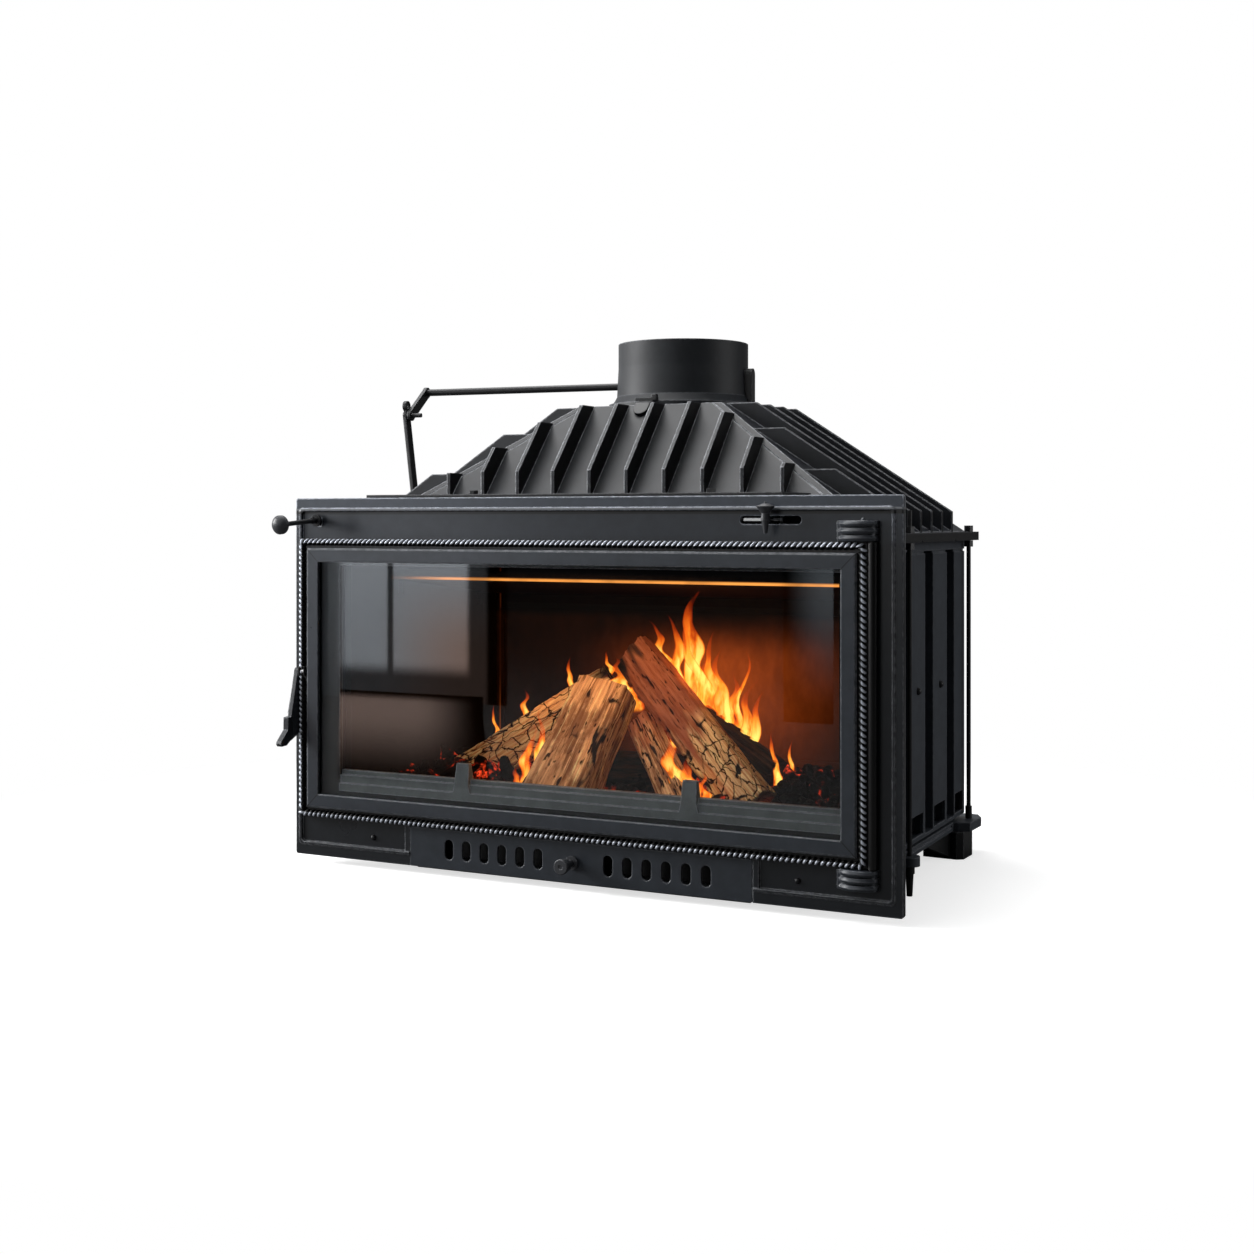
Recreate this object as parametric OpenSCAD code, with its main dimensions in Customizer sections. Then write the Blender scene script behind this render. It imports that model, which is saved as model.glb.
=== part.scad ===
// Cast iron fireplace insert with a glazed door, a ribbed smoke hood and a round flue collar.
// Millimetres, Z up. The origin is on the floor, under the middle of the whole footprint.
// Lengths below are written in the case frame: X from the middle of the front frame, Y back from
// the face of the front frame, Z up from the bottom edge of the front frame.

/* [Front frame] */
// Width of the front frame
front_w = 793; // [770:1:820]
// Height of the front frame
front_h = 450; // [445:1:470]
// Thickness of the front frame casting
front_t = 8; // [7:0.5:10]
// Width of the flat border beside the recessed field
border_side = 10.5; // [9.5:0.5:11.5]
// Distance of the recessed field's middle, left of the middle of the frame
field_shift = 2; // [1:0.5:2.5]
// Height of the flat border above and below the recessed field
border_end = 16.5; // [12:0.5:18]
// Depth of the recessed field behind the border
field_depth = 3; // [2.5:0.1:3.5]
// Corner radius of the front frame
front_corner = 3; // [1:0.5:6]
// Height of the bead that edges the field
bead_rise = 1; // [0.5:0.1:1.2]
// Width of the bead that edges the field
bead_w = 3.5; // [2:0.5:5]
// How much narrower the fire opening is than the window, on each side
mouth_side = 13; // [11:0.5:23]
// Distance from the bottom of the window up to the fire opening
mouth_rise = 9; // [5:0.5:13]
// Distance from the top of the window down to the top of the fire opening
mouth_drop = 4; // [1:0.5:18]

/* [Case] */
// Depth from the face of the frame to the back of the rear ears
case_d = 447; // [440:1:470]
// Height of the bottom edge of the frame above the floor
foot_gap = 9; // [6:0.5:15]
// Distance from each end of the front frame to the inner face of a side panel
side_setback = 64.5; // [61:0.5:65.5]
// Thickness of the side and back panels
panel_t = 6; // [5:0.5:8]
// Depth of the raised air channels on the panels
channel_rise = 14; // [10:0.5:15]
// Wall of a raised air channel
channel_wall = 4; // [3:0.5:5]
// Width of a raised air channel on a side panel
channel_w = 63; // [50:1:70]
// Distance from one air channel to the next
channel_pitch = 98; // [85:1:110]
// Front edge of the foremost air channel
channel_start = 79; // [60:1:90]
// Height of the air inlet at the foot of a channel
inlet_h = 25; // [15:1:40]
// Height of the channels' sill above the base plate
sill_gap = 5; // [3:0.5:12]
// Distance from the back of the case to the rear edge of the side panels
panel_setback = 23; // [20:1:30]
// Height of the top of the base plate
base_top = 37; // [36:0.5:40]
// Thickness of the base plate
base_t = 11; // [8:0.5:12]
// Distance from each end of the front frame to the edge of the base plate
base_setback = 46.5; // [44:0.5:48]
// Thickness of the ledge that carries the hood
ledge_t = 11; // [8:0.5:12]
// Distance from the top of the front frame down to the ledge that carries the hood
ledge_drop = 42.5; // [40:0.5:44]
// Distance from each end of the front frame to the end of the ledge
ledge_setback = 30.5; // [28.5:0.5:32]
// Distance from the back of the case to the rear edge of the ledge
ledge_rear_gap = 3; // [1:1:8]
// Distance from each end of the front frame to the tie rods
rod_setback = 36.5; // [35.5:0.5:37.5]
// Distance of the front tie rods behind the face of the frame
rod_front_y = 147; // [143:1:158]
// Distance from the back of the case to the rear tie rods
rod_back = 32; // [28:1:36]
// Radius of a tie rod
rod_r = 2.8; // [2.4:0.1:3.2]
// Distance from the back of the case to the back of the ash well
well_back = 114; // [112:1:140]

/* [Hood] */
// Height of the hood's flat top above the front frame
hood_rise = 120; // [100:1:130]
// Thickness of the hood castings
hood_t = 7; // [6:0.5:9]
// Distance from each end of the front frame to the foot of the hood
hood_setback = 45; // [42.5:0.5:50]
// Width of the flat top left beside the flange of the collar
hood_top_margin = 2; // [1:0.5:8]
// Front edge of the hood where its slope meets the ledge
hood_foot_y = 62; // [55:1:70]
// Distance from the flue axis forward to the front edge of the flat top
hood_top_lead = 108; // [104:1:114]
// Distance from the back of the case to the rear edge of the flat top
hood_top_back = 27; // [24:1:30]
// Distance from the back of the case to the rear foot of the hood
hood_foot_back = 15; // [11:1:19]
// Thickness of a cooling rib
rib_t = 5; // [4:0.5:6]
// Height of a front rib above its slope, measured upwards
front_rib_h = 35; // [25:1:40]
// Height of a side rib above its slope, measured upwards
side_rib_h = 26; // [18:1:30]
// Distance between the front ribs
front_rib_pitch = 50.5; // [44:0.5:51]
// Number of front ribs
front_ribs = 10; // [6:2:10]
// Distance of the middle of the front ribs, left of the middle of the frame
front_rib_shift = 5; // [0:0.5:6]
// Distance between the side ribs
side_rib_pitch = 47; // [40:0.5:48]
// Number of side ribs on each slope
side_ribs = 6; // [3:1:6]
// Distance from the front foot of the hood to the foremost side rib
side_rib_lead = 70; // [58:1:78]
// Height of the rear ribs
rear_rib_h = 7; // [4:0.5:8]
// Thickness of the deck plate in front of the hood
deck_t = 3.5; // [3:0.5:4]
// Distance from the left end of the front frame to the deck plate
deck_left_setback = 102.5; // [96:0.5:120]
// Distance from the right end of the front frame to the deck plate
deck_right_setback = 139.5; // [96:0.5:160]
// Distance of each deck bolt from the middle
deck_bolt_x = 158; // [120:1:220]

/* [Flue] */
// Distance from the back of the case to the flue axis
flue_back = 131; // [129:1:135]
// Radius of the straight top of the flue collar
spigot_r = 86.5; // [84:0.5:88]
// Length of the straight top of the flue collar
spigot_len = 32; // [25:1:34]
// Radius at the foot of the flue collar
collar_foot_r = 88.5; // [88:0.5:91]
// Inner radius of the flue collar
flue_bore_r = 81; // [78.5:0.5:82]
// Height of the flue collar above the hood
collar_h = 86; // [80:1:110]
// Radius of the flange of the collar
flange_r = 99; // [97:0.5:100]
// Thickness of the flange of the collar
flange_t = 6; // [4:0.5:8]

/* [Damper] */
// Height of the damper shaft above the flat top of the hood
shaft_rise = 33; // [30:1:38]
// Radius of the damper shaft
shaft_r = 4.8; // [4:0.1:5]
// Running clearance of a shaft or pin in its hole
running = 0.06; // [0.03:0.01:0.09]
// Angle of the damper shaft in plan
damper_yaw = 5; // [3:0.5:6]
// Distance of the damper shaft's end outside the control lever
crank_out = 25; // [24:0.5:27]
// Clearance of the damper plate in the flue
damper_gap = 2.5; // [1.5:0.5:8]
// Thickness of the damper plate
damper_t = 4; // [3:0.5:6]
// Distance between the two pivots of the crank
crank_len = 58; // [55:0.5:62]
// Angle of the crank below the horizontal with the damper shut
crank_rest = 37; // [35:0.5:40]
// Width of the crank bar
crank_w = 15; // [12:0.5:16]
// Width of the link bar
link_w = 12; // [8:0.5:14]
// Thickness of the crank bar and of the link bar
bar_t = 5; // [3:0.5:5.5]
// Gap between the crank bar and the link bar
link_gap = 1.8; // [1.6:0.1:2.4]
// Radius of the pins in the damper linkage
link_pin_r = 3; // [2.5:0.1:3.2]
// Distance from the left end of the front frame to the control lever
lever_setback = 33.5; // [32:0.5:34.5]
// Height of the control lever's pivot above the ledge
lever_rise = 16.1; // [15.8:0.1:16.6]
// Distance of the lever's pivot behind the face of the frame
lever_pivot_y = 16; // [15.5:0.5:18]
// Radius of the control lever rod
lever_r = 3; // [2.5:0.1:3.4]
// Radius of the lever's pivot pin
lever_pin_r = 2.5; // [2:0.1:3]
// Angle at which the lever rises to the back with the damper shut
lever_rest = 4.3; // [4:0.1:4.5]
// Distance from the lever's pivot to its knob
lever_front = 91.5; // [75:0.5:96]
// Radius of the lever's knob
ball_r = 11.7; // [9:0.1:13]
// Half thickness of the lever's knob
knob_half = 8; // [5:0.5:8.5]
// Half height of the loose slot at the foot of the link
loose_r = 5; // [4.8:0.1:5.5]
// Half length of the loose slot at the foot of the link
loose_half = 9.4; // [9.2:0.1:11]
// Distance of the lever's rear pin in front of the crank's pin
rear_pin_lead = 3; // [2:0.5:4]

/* [Door] */
// How much narrower the door is than the front frame, on each side
door_margin = 24.5; // [24:0.5:27]
// Height of the bottom edge of the door
door_low = 50; // [49:0.5:52]
// Distance from the top of the front frame down to the door
door_drop = 51; // [50:0.5:56]
// Middle of the door, left of the middle of the frame
door_shift = 14.3; // [14:0.1:15]
// Middle of the window, left of the middle of the frame
window_shift = 13; // [12.6:0.1:13.4]
// Width of the door beside the window
door_side = 29; // [28.5:0.5:34]
// Width of the raised flat frame round the window
mitre_w = 17.5; // [15:0.5:18]
// Distance of the raised frame's face in front of the front frame
door_proud = 10; // [9:0.5:11]
// Distance of the door flange's face in front of the front frame
flange_proud = 4; // [3.5:0.5:5]
// Gap between the door and the field behind it
door_gap = 0.6; // [0.5:0.1:0.9]
// Radius of the rope moulding
rope_r = 4.5; // [4:0.1:4.8]
// Distance of the rope moulding's middle from the door's edge
rope_inset = 4.4; // [4.2:0.1:5.5]
// Thickness of the window glass
glass_t = 4; // [3:0.5:4.5]
// Distance of the glass behind the face of the raised frame
glass_set = 4.5; // [4:0.5:5]
// Overlap of the glass behind the window edge
glass_lap = 7; // [5:0.5:7.5]
// Width of the door seal
seal_w = 8; // [6:0.5:8]
// Distance of the seal's middle from the door's edge
seal_inset = 13.5; // [13:0.5:14]
// Radius of the hinge pins
hinge_r = 3.5; // [3:0.1:3.8]
// Radius of the hinge column on the door
column_r = 5.5; // [5:0.1:5.6]
// Distance of the hinge axis beyond the door's right edge
hinge_out = 5.8; // [5.6:0.1:6.6]
// Distance of the hinge axis in front of the front frame
hinge_proud = 3; // [2.8:0.1:3.2]
// Height of a hinge block
hinge_block_h = 22; // [18:0.5:24]
// Width of a hinge block
hinge_block_w = 47; // [40:0.5:50]

/* [Handle and slides] */
// Height of the door handle's pivot above the middle of the door
handle_rise = 7.5; // [-20:0.5:30]
// Distance of the handle's pivot in front of the front frame
handle_proud = 5.8; // [5.8:0.1:6.5]
// Thickness of the handle plate
handle_t = 5.5; // [4:0.5:6]
// Radius of the handle's pivot pin
handle_pin_r = 2.5; // [2:0.1:2.8]
// Distance from the right end of the front frame to the air slide's knob
slide_setback = 151.5; // [148:0.5:154]
// Distance from the top of the front frame down to the air slide's slot
slide_drop = 27.2; // [26.5:0.1:28]
// Length of the air slide's slot
slide_slot_w = 72; // [70:1:76]
// Height of the slot for the air slide
slide_slot_h = 9; // [8:0.5:10]
// Radius of the bright bar on the air slide
slide_bar_r = 4.6; // [4:0.1:5]
// Width of the ash drawer's front
drawer_w = 449; // [430:1:452]
// Distance from the door down to the ash drawer
drawer_drop = 2; // [1.5:0.5:3.5]
// Gap round the ash drawer's front
drawer_gap = 0.6; // [0.4:0.1:0.9]
// Number of air slots on each side of the drawer
air_slots = 6; // [3:1:6]
// Distance between the air slots
air_slot_pitch = 24.6; // [20:0.1:25]
// Distance of the first air slot from the middle
air_slot_start = 46; // [40:0.5:48]
// Width of an air slot
air_slot_w = 12; // [8:0.5:13]
// Height of an air slot
air_slot_h = 24; // [18:0.5:26]
// Thickness of the drawer's front where the air slots are
air_slot_wall = 3; // [2.5:0.5:5]
// Travel of the air valve
valve_travel = 11; // [8:0.5:12]
// Radius of the air knob
air_knob_r = 9; // [8:0.5:12]
// Radius of the air knob's stem
stem_r = 4; // [3:0.1:4.5]

/* [Firebox] */
// Thickness of the fire linings
lining_t = 9; // [7:0.5:9.5]
// Distance from the back of the case to the face of the fireback
fireback_back = 75; // [62:1:87]
// Thickness of the fireback
fireback_t = 12; // [8:0.5:15]
// Distance from the bottom of the fire opening down to the hearth plate
hearth_drop = 10; // [8:1:16]
// Thickness of the hearth plate
hearth_t = 8; // [6:0.5:10]
// Width of the grate
grate_w = 300; // [220:1:320]
// Depth of the grate
grate_d = 180; // [140:1:200]
// Front edge of the baffle
baffle_y = 103; // [95:1:120]
// Distance from the top of the fire opening down to the front edge of the baffle
baffle_drop = 20; // [16:1:36]
// Height of the log guard above the bottom of the fire opening
guard_rise = 22; // [18:1:26]
// Distance of each log guard post from the middle of the pair
post_x = 149.5; // [120:0.5:180]
// Width of a log guard post
post_w = 20; // [12:0.5:24]

/* [Hidden] */
$fn = 48;
joint_gap = 0.3;
eps = 0.01;
half_w = front_w / 2;
// Door and window
door_w = front_w - 2 * door_margin;
door_h = front_h - door_low - door_drop;
door_mid = door_low + door_h / 2;
door_high = door_low + door_h;
door_left = -door_shift - door_w / 2;
door_right = -door_shift + door_w / 2;
door_back = field_depth - door_gap;
window_w = door_w - 2 * door_side;
window_h = door_h - 2 * door_side;
glass_y = -door_proud + glass_set;
hinge_x = door_right + hinge_out;
hinge_y = -hinge_proud;
hinge_gap = 1.2;
// Fire opening
mouth_half = window_w / 2 - mouth_side;
mouth_low = door_mid - window_h / 2 + mouth_rise;
mouth_high = door_mid + window_h / 2 - mouth_drop;
// Case
side_in = half_w - side_setback;
side_out = side_in + panel_t + channel_rise;
panel_rear = case_d - panel_setback;
base_half = half_w - base_setback;
base_low = base_top - base_t;
ledge_top = front_h - ledge_drop;
ledge_low = ledge_top - ledge_t;
ledge_half = half_w - ledge_setback;
ledge_rear = case_d - ledge_rear_gap;
sill_z = base_top + sill_gap;
well_rear = case_d - well_back;
well_wall = 3;
// Hood
flue_y = case_d - flue_back;
hood_top_z = front_h + hood_rise;
hood_foot_x = half_w - hood_setback;
hood_top_x = flange_r + hood_top_margin;
hood_top_y = flue_y - hood_top_lead;
hood_top_rear = case_d - hood_top_back;
hood_foot_rear = case_d - hood_foot_back;
front_slope = (hood_top_z - ledge_top) / (hood_top_y - hood_foot_y);
side_slope = (hood_top_z - ledge_top) / (hood_foot_x - hood_top_x);
function slope_z(y) = ledge_top + (y - hood_foot_y) * front_slope;
function slope_y(z) = hood_foot_y + (z - ledge_top) / front_slope;
function side_z(x) = ledge_top + (hood_foot_x - x) * side_slope;
function side_x(z) = hood_foot_x - (z - ledge_top) / side_slope;
deck_z = front_h + joint_gap;
deck_top = deck_z + deck_t;
// Flue and damper
shaft_z = hood_top_z + shaft_rise;
collar_top = hood_top_z + collar_h;
damper_r = flue_bore_r - damper_gap;
lever_x = half_w - lever_setback;
lever_z = ledge_top + lever_rise;
shaft_reach = lever_x + crank_out;
crank_dy = -crank_len * cos(crank_rest);
crank_dz = -crank_len * sin(crank_rest);
crank_x = -(shaft_reach - bar_t / 2);
link_x = crank_x - bar_t - link_gap;
crank_end = [
    crank_x * cos(damper_yaw) - crank_dy * sin(damper_yaw),
    flue_y + crank_x * sin(damper_yaw) + crank_dy * cos(damper_yaw),
    shaft_z + crank_dz
];
lever_rear = (crank_end[1] - rear_pin_lead - lever_pivot_y) / cos(lever_rest);
lever_end_z = lever_z + lever_rear * sin(lever_rest);
barrel_half = 5;
cheek_t = 3.6;
ball_y = lever_pivot_y - lever_front * cos(lever_rest);
knob_reach = knob_half - ball_y;
front_y = (knob_reach - case_d) / 2;
// Tie rods
rod_x = half_w - rod_setback;
rod_rear_y = case_d - rod_back;
nut_h = 8;
nut_r = 5.8;
// Handle
handle_y = -handle_proud;
handle_z = door_mid + handle_rise;
handle_x = door_left - 0.5;
// Air slide and drawer
slide_x = half_w - slide_setback;
slide_z = front_h - slide_drop;
shutter_y = front_t + joint_gap;
shutter_half = 10;
knob_proud = 12;
drawer_h = door_low - drawer_drop;
pan_low = 0.5;
well_half = drawer_w / 2 - 8.5;
valve_rest_y = front_t + joint_gap + valve_travel;
air_z = drawer_h / 2;
// Firebox
fireback_y = case_d - fireback_back;
hearth_z = mouth_low - hearth_drop;
baffle_z = mouth_high - baffle_drop;
guard_top = mouth_low + guard_rise;
post_shift = 2;

// Puts a piece written in the case frame where it belongs
module in_case() {
    translate([0, front_y, foot_gap]) children();
}

// A box between two corners
module block(a, b) {
    translate(a) cube(b - a);
}

// A round bar along X, from x0 to x1
module bar_x(x0, x1, y, z, r) {
    translate([x0, y, z]) rotate([0, 90, 0]) cylinder(r = r, h = x1 - x0);
}

// A round bar along Y, from y0 to y1
module bar_y(x, y0, y1, z, r1, r2) {
    translate([x, y0, z]) rotate([-90, 0, 0]) cylinder(r1 = r1, r2 = r2, h = y1 - y0);
}

// A round bar along Z, from z0 to z1
module bar_z(x, y, z0, z1, r) {
    translate([x, y, z0]) cylinder(r = r, h = z1 - z0);
}

// A flat outline of width w and height h with round corners, centred
module rounded(w, h, r) {
    square([w - 2 * r, h], center = true);
    square([w, h - 2 * r], center = true);
    for (sx = [-1, 1], sy = [-1, 1]) {
        translate([sx * (w / 2 - r), sy * (h / 2 - r)]) circle(r = r);
    }
}

// Stands an XZ outline up, from y0 back to y1
module upright(y0, y1) {
    translate([0, y1, 0]) rotate([90, 0, 0]) linear_extrude(y1 - y0) children();
}

// Runs a YZ outline along X, from x0 to x1
module along_x(x0, x1) {
    translate([x0, 0, 0]) rotate([90, 0, 90]) linear_extrude(x1 - x0) children();
}

// Both sides of the case
module both_sides() {
    for (s = [0, 1]) mirror([s, 0, 0]) children();
}

// Section: front frame

module field_outline(grow) {
    translate([-field_shift, front_h / 2]) {
        rounded(front_w - 2 * border_side + 2 * grow, front_h - 2 * border_end + 2 * grow, front_corner + 2);
    }
}

module front_frame() {
    color("#2c2d30") in_case() difference() {
        union() {
            upright(0, front_t) translate([0, front_h / 2]) rounded(front_w, front_h, front_corner);
            upright(-bead_rise, eps) difference() {
                field_outline(bead_w);
                field_outline(0);
            }
        }
        upright(-1, field_depth) difference() {
            field_outline(0);
            // The border runs on beside the drawer
            translate([0, drawer_h / 2]) square([drawer_w + 16, drawer_h + 2], center = true);
        }
        // Fire opening
        block([-mouth_half, -5, mouth_low], [mouth_half, front_t + 1, mouth_high]);
        // Drawer opening
        block([-drawer_w / 2 - drawer_gap, -5, -1],
              [drawer_w / 2 + drawer_gap, front_t + 1, drawer_h + drawer_gap]);
        // Slot for the air slide
        upright(-5, front_t + 1) translate([slide_x, slide_z]) {
            rounded(slide_slot_w, slide_slot_h, slide_slot_h / 2 - eps);
        }
        // Slot for the control lever
        upright(-5, front_t + 1) translate([-lever_x, lever_z - 2.7]) {
            rounded(2 * lever_r + 2, 2 * lever_r + 6, lever_r + 0.9);
        }
        // Slot for the latch finger
        block([door_left + 1.2, -5, handle_z - 16], [door_left + 10.5, front_t + 1, handle_z + 6]);
    }
}

// Small dome screws that hold the frame
module front_screws() {
    color("#55575b") in_case() for (x = [116.5 - half_w, half_w - 119.5]) {
        difference() {
            translate([x, field_depth, drawer_h * 0.6]) sphere(r = 3.6);
            block([x - 5, field_depth, 0], [x + 5, field_depth + 5, drawer_h]);
        }
    }
}

// Section: case panels

// Outline of one raised channel, from y0 to y1
module channel(y0, y1) {
    inlet_z = sill_z + channel_wall + 2;
    difference() {
        block([side_in + panel_t - eps, y0, sill_z], [side_out, y1, ledge_low - 14]);
        block([side_in + panel_t - 1, y0 + channel_wall, sill_z + channel_wall],
              [side_out - channel_wall, y1 - channel_wall, ledge_low - 18]);
        // Air inlet at the foot
        block([side_out - channel_wall - 1, y0 + channel_wall, inlet_z],
              [side_out + 1, y1 - 2 * channel_wall, inlet_z + inlet_h]);
    }
}

module side_panel() {
    // Plate, top band and bottom sill
    block([side_in, front_t, base_top], [side_in + panel_t, panel_rear, ledge_low]);
    block([side_in, front_t, ledge_low - 11], [side_out, panel_rear, ledge_low]);
    block([side_in, front_t, sill_z], [side_out, panel_rear, sill_z + channel_wall]);
    for (i = [0:2]) {
        y0 = channel_start + i * channel_pitch;
        channel(y0, y0 + channel_w);
    }
    channel(channel_start + 3 * channel_pitch, panel_rear);
    // Step below the top band
    for (i = [0:3]) {
        y0 = channel_start + i * channel_pitch;
        y1 = min(y0 + channel_w, panel_rear);
        block([side_in, y0 + 1, ledge_low - 15], [side_out - 1.5, y1 - 1, ledge_low - 10]);
    }
}

module side_panel_right() {
    color("#303135") in_case() side_panel();
}

module side_panel_left() {
    color("#303135") in_case() mirror([1, 0, 0]) side_panel();
}

// Screws in the middle of two channels on each side
module side_screws() {
    z = (base_top + ledge_low) / 2 + 3;
    color("#55575b") in_case() both_sides() for (i = [1, 2]) {
        y = channel_start + i * channel_pitch + channel_w / 2;
        difference() {
            translate([side_out, y, z]) sphere(r = 4.6);
            block([side_out - 6, y - 6, z - 6], [side_out, y + 6, z + 6]);
        }
    }
}

module back_panel() {
    y0 = panel_rear - panel_t - 6;
    pitch = side_in / 3.75;
    color("#2b2c2f") in_case() {
        block([-side_in + joint_gap, y0, base_top], [side_in - joint_gap, y0 + panel_t, ledge_low]);
        for (i = [-3:3]) {
            x = i * pitch;
            block([x - pitch / 4, y0 + panel_t - eps, base_top + 16], [x + pitch / 4, panel_rear, ledge_low - 16]);
        }
    }
}

// Section: base, feet and tie rods

module rear_ear() {
    translate([rod_x, case_d, base_low]) linear_extrude(base_t) {
        polygon([[-30, -75], [-4, -71], [11, -66], [13.5, -20], [4, 0], [-30, 0]]);
    }
}

module base_plate() {
    color("#2b2c2f") in_case() difference() {
        union() {
            block([-base_half, front_t, base_low], [base_half, panel_rear + 6, base_top]);
            both_sides() {
                rear_ear();
                // Rounded lug round the front tie rod
                bar_z(rod_x, rod_front_y, base_low, base_top, 12);
                block([base_half - 5, rod_front_y - 11, base_low], [rod_x, rod_front_y + 11, base_top]);
            }
        }
        block([-well_half, front_t - 1, base_low - 1], [well_half, well_rear, base_top + 1]);
        both_sides() for (y = [rod_front_y, rod_rear_y]) {
            bar_z(rod_x, y, base_low - 1, base_top + 1, rod_r + running);
        }
        // Groove along each outer edge
        both_sides() block([base_half - 1.5, front_t - 1, base_top - 6], [base_half + 1, rod_front_y - 12, base_top - 3]);
        both_sides() block([base_half - 1.5, rod_front_y + 12, base_top - 6], [base_half + 1, case_d - 76, base_top - 3]);
    }
}

// Sheet trough under the base plate that carries the ash pan
module ash_well() {
    low = pan_low - joint_gap;
    color("#26272a") in_case() difference() {
        block([-well_half - well_wall, front_t + joint_gap, low - well_wall],
              [well_half + well_wall, well_rear + well_wall, base_low]);
        block([-well_half, front_t - 1, low], [well_half, well_rear, base_low + 1]);
    }
}

// Hollow cast column and web under each rear corner
module rear_feet() {
    color("#1d1e20") in_case() both_sides() {
        difference() {
            translate([rod_x, case_d, -foot_gap]) linear_extrude(foot_gap + base_low) {
                polygon([[-48, -75], [-4, -78], [4, -72], [6, -37], [2, -33], [-48, -33]]);
            }
            block([rod_x - 55, case_d - 69, -foot_gap + 5], [rod_x - 2, case_d - 39, base_low - 5]);
        }
        along_x(base_half - 10, base_half - 4) polygon([
            [case_d - 185, base_low], [case_d - 76, base_low], [case_d - 76, -foot_gap + 3]
        ]);
    }
}

// Tapered levelling feet under the front ears
module front_feet() {
    color("#1d1e20") in_case() both_sides() {
        translate([rod_x, rod_front_y, -foot_gap]) {
            cylinder(r1 = 3.4, r2 = 4.8, h = foot_gap + base_low - 9);
        }
        bar_z(rod_x, rod_front_y, base_low - 9, base_low - joint_gap, 6);
    }
}

module tie_rods() {
    low = base_low - joint_gap;
    color("#232427") in_case() {
        // The right front rod has a long end; the left one stays under the lever
        bar_z(rod_x, rod_front_y, low, ledge_top + 3.3 * nut_h, rod_r);
        bar_z(-rod_x, rod_front_y, low, ledge_top + nut_h - 1, rod_r);
        both_sides() bar_z(rod_x, rod_rear_y, base_low + 1, ledge_top + nut_h - 1, rod_r);
    }
}

module tie_rod_nuts() {
    color("#3a3b3f") in_case() both_sides() {
        for (y = [rod_front_y, rod_rear_y], z = [ledge_top, ledge_low - nut_h - joint_gap]) {
            translate([rod_x, y, z]) difference() {
                cylinder(r = nut_r, h = nut_h, $fn = 6);
                translate([0, 0, -1]) cylinder(r = rod_r + running, h = nut_h + 2);
            }
        }
        // Sleeve at the foot of each rear rod
        difference() {
            bar_z(rod_x, rod_rear_y, base_top, base_top + 2 * nut_h, rod_r + 1.5);
            bar_z(rod_x, rod_rear_y, base_top - 1, base_top + 2 * nut_h + 1, rod_r + running);
        }
    }
}

// Section: ledge, deck and hood

module top_ledge() {
    lap = 24;
    color("#33343a") in_case() difference() {
        block([-ledge_half, front_t, ledge_low], [ledge_half, ledge_rear, ledge_top]);
        block([-hood_foot_x + 2 * lap, hood_foot_y + lap, ledge_low - 1],
              [hood_foot_x - 2 * lap, hood_foot_rear - lap, ledge_top + 1]);
        both_sides() {
            for (y = [rod_front_y, rod_rear_y]) {
                bar_z(rod_x, y, ledge_low - 1, ledge_top + 1, rod_r + running);
            }
            // Small drain notches in the lower edge
            for (y = [flue_y - 137, flue_y + 11]) bar_x(ledge_half - 3, ledge_half + 1, y, ledge_low, 2.6);
        }
    }
}

module deck_plate() {
    color("#1c1d1f") in_case() block([-half_w + deck_left_setback, front_t - 1, deck_z],
                                     [half_w - deck_right_setback, slope_y(deck_z) - joint_gap, deck_top]);
}

// Hexagon bolts that hold the deck plate
module deck_bolts() {
    color("#3a3b3f") in_case() for (x = [-deck_bolt_x, deck_bolt_x]) {
        translate([x, hood_foot_y - 22, deck_top]) cylinder(r = nut_r, h = 5, $fn = 6);
    }
}

// Outline of the hood seen from the side, drawn in by d from its outer faces
module hood_side_outline(d) {
    polygon([
        [hood_foot_y + d, ledge_top], [hood_foot_rear - d, ledge_top],
        [hood_top_rear - d, hood_top_z], [hood_top_y + d, hood_top_z]
    ]);
}

// Outline of the hood seen from the front, drawn in by d from its outer faces
module hood_front_outline(d) {
    polygon([
        [-hood_foot_x + d, ledge_top], [hood_foot_x - d, ledge_top],
        [hood_top_x - d, hood_top_z], [-hood_top_x + d, hood_top_z]
    ]);
}

// How far a slope's thickness reaches across the hood
front_cut = hood_t * sqrt(1 + 1 / (front_slope * front_slope));
side_cut = hood_t * sqrt(1 + 1 / (side_slope * side_slope));

// Space between the front and rear castings
module hood_between_ends(d) {
    along_x(-hood_foot_x - 1, hood_foot_x + 1) hood_side_outline(d);
}

// Space between the left and right castings
module hood_between_sides(d) {
    upright(hood_foot_y - 1, hood_foot_rear + 1) hood_front_outline(d);
}

// A front rib: it stands on the deck, follows the slope and stops at the hip
module front_rib(x) {
    top = min(hood_top_z, side_z(abs(x) + rib_t / 2) - joint_gap);
    foot_y = slope_y(deck_top + front_rib_h) - front_rib_h / front_slope - 4;
    along_x(x - rib_t / 2, x + rib_t / 2) polygon([
        [foot_y, deck_top + joint_gap], [slope_y(deck_top) + 6, deck_top + joint_gap],
        [slope_y(top) + 1, top], [max(foot_y, slope_y(top - front_rib_h)), top],
        [foot_y, min(top - eps, slope_z(foot_y) + front_rib_h)]
    ]);
}

// Room of the left and right castings, which the ribs of the front and rear castings keep out of
module hood_side_room() {
    difference() {
        hood_between_ends(0);
        hood_between_sides(side_cut + joint_gap);
    }
}

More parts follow.
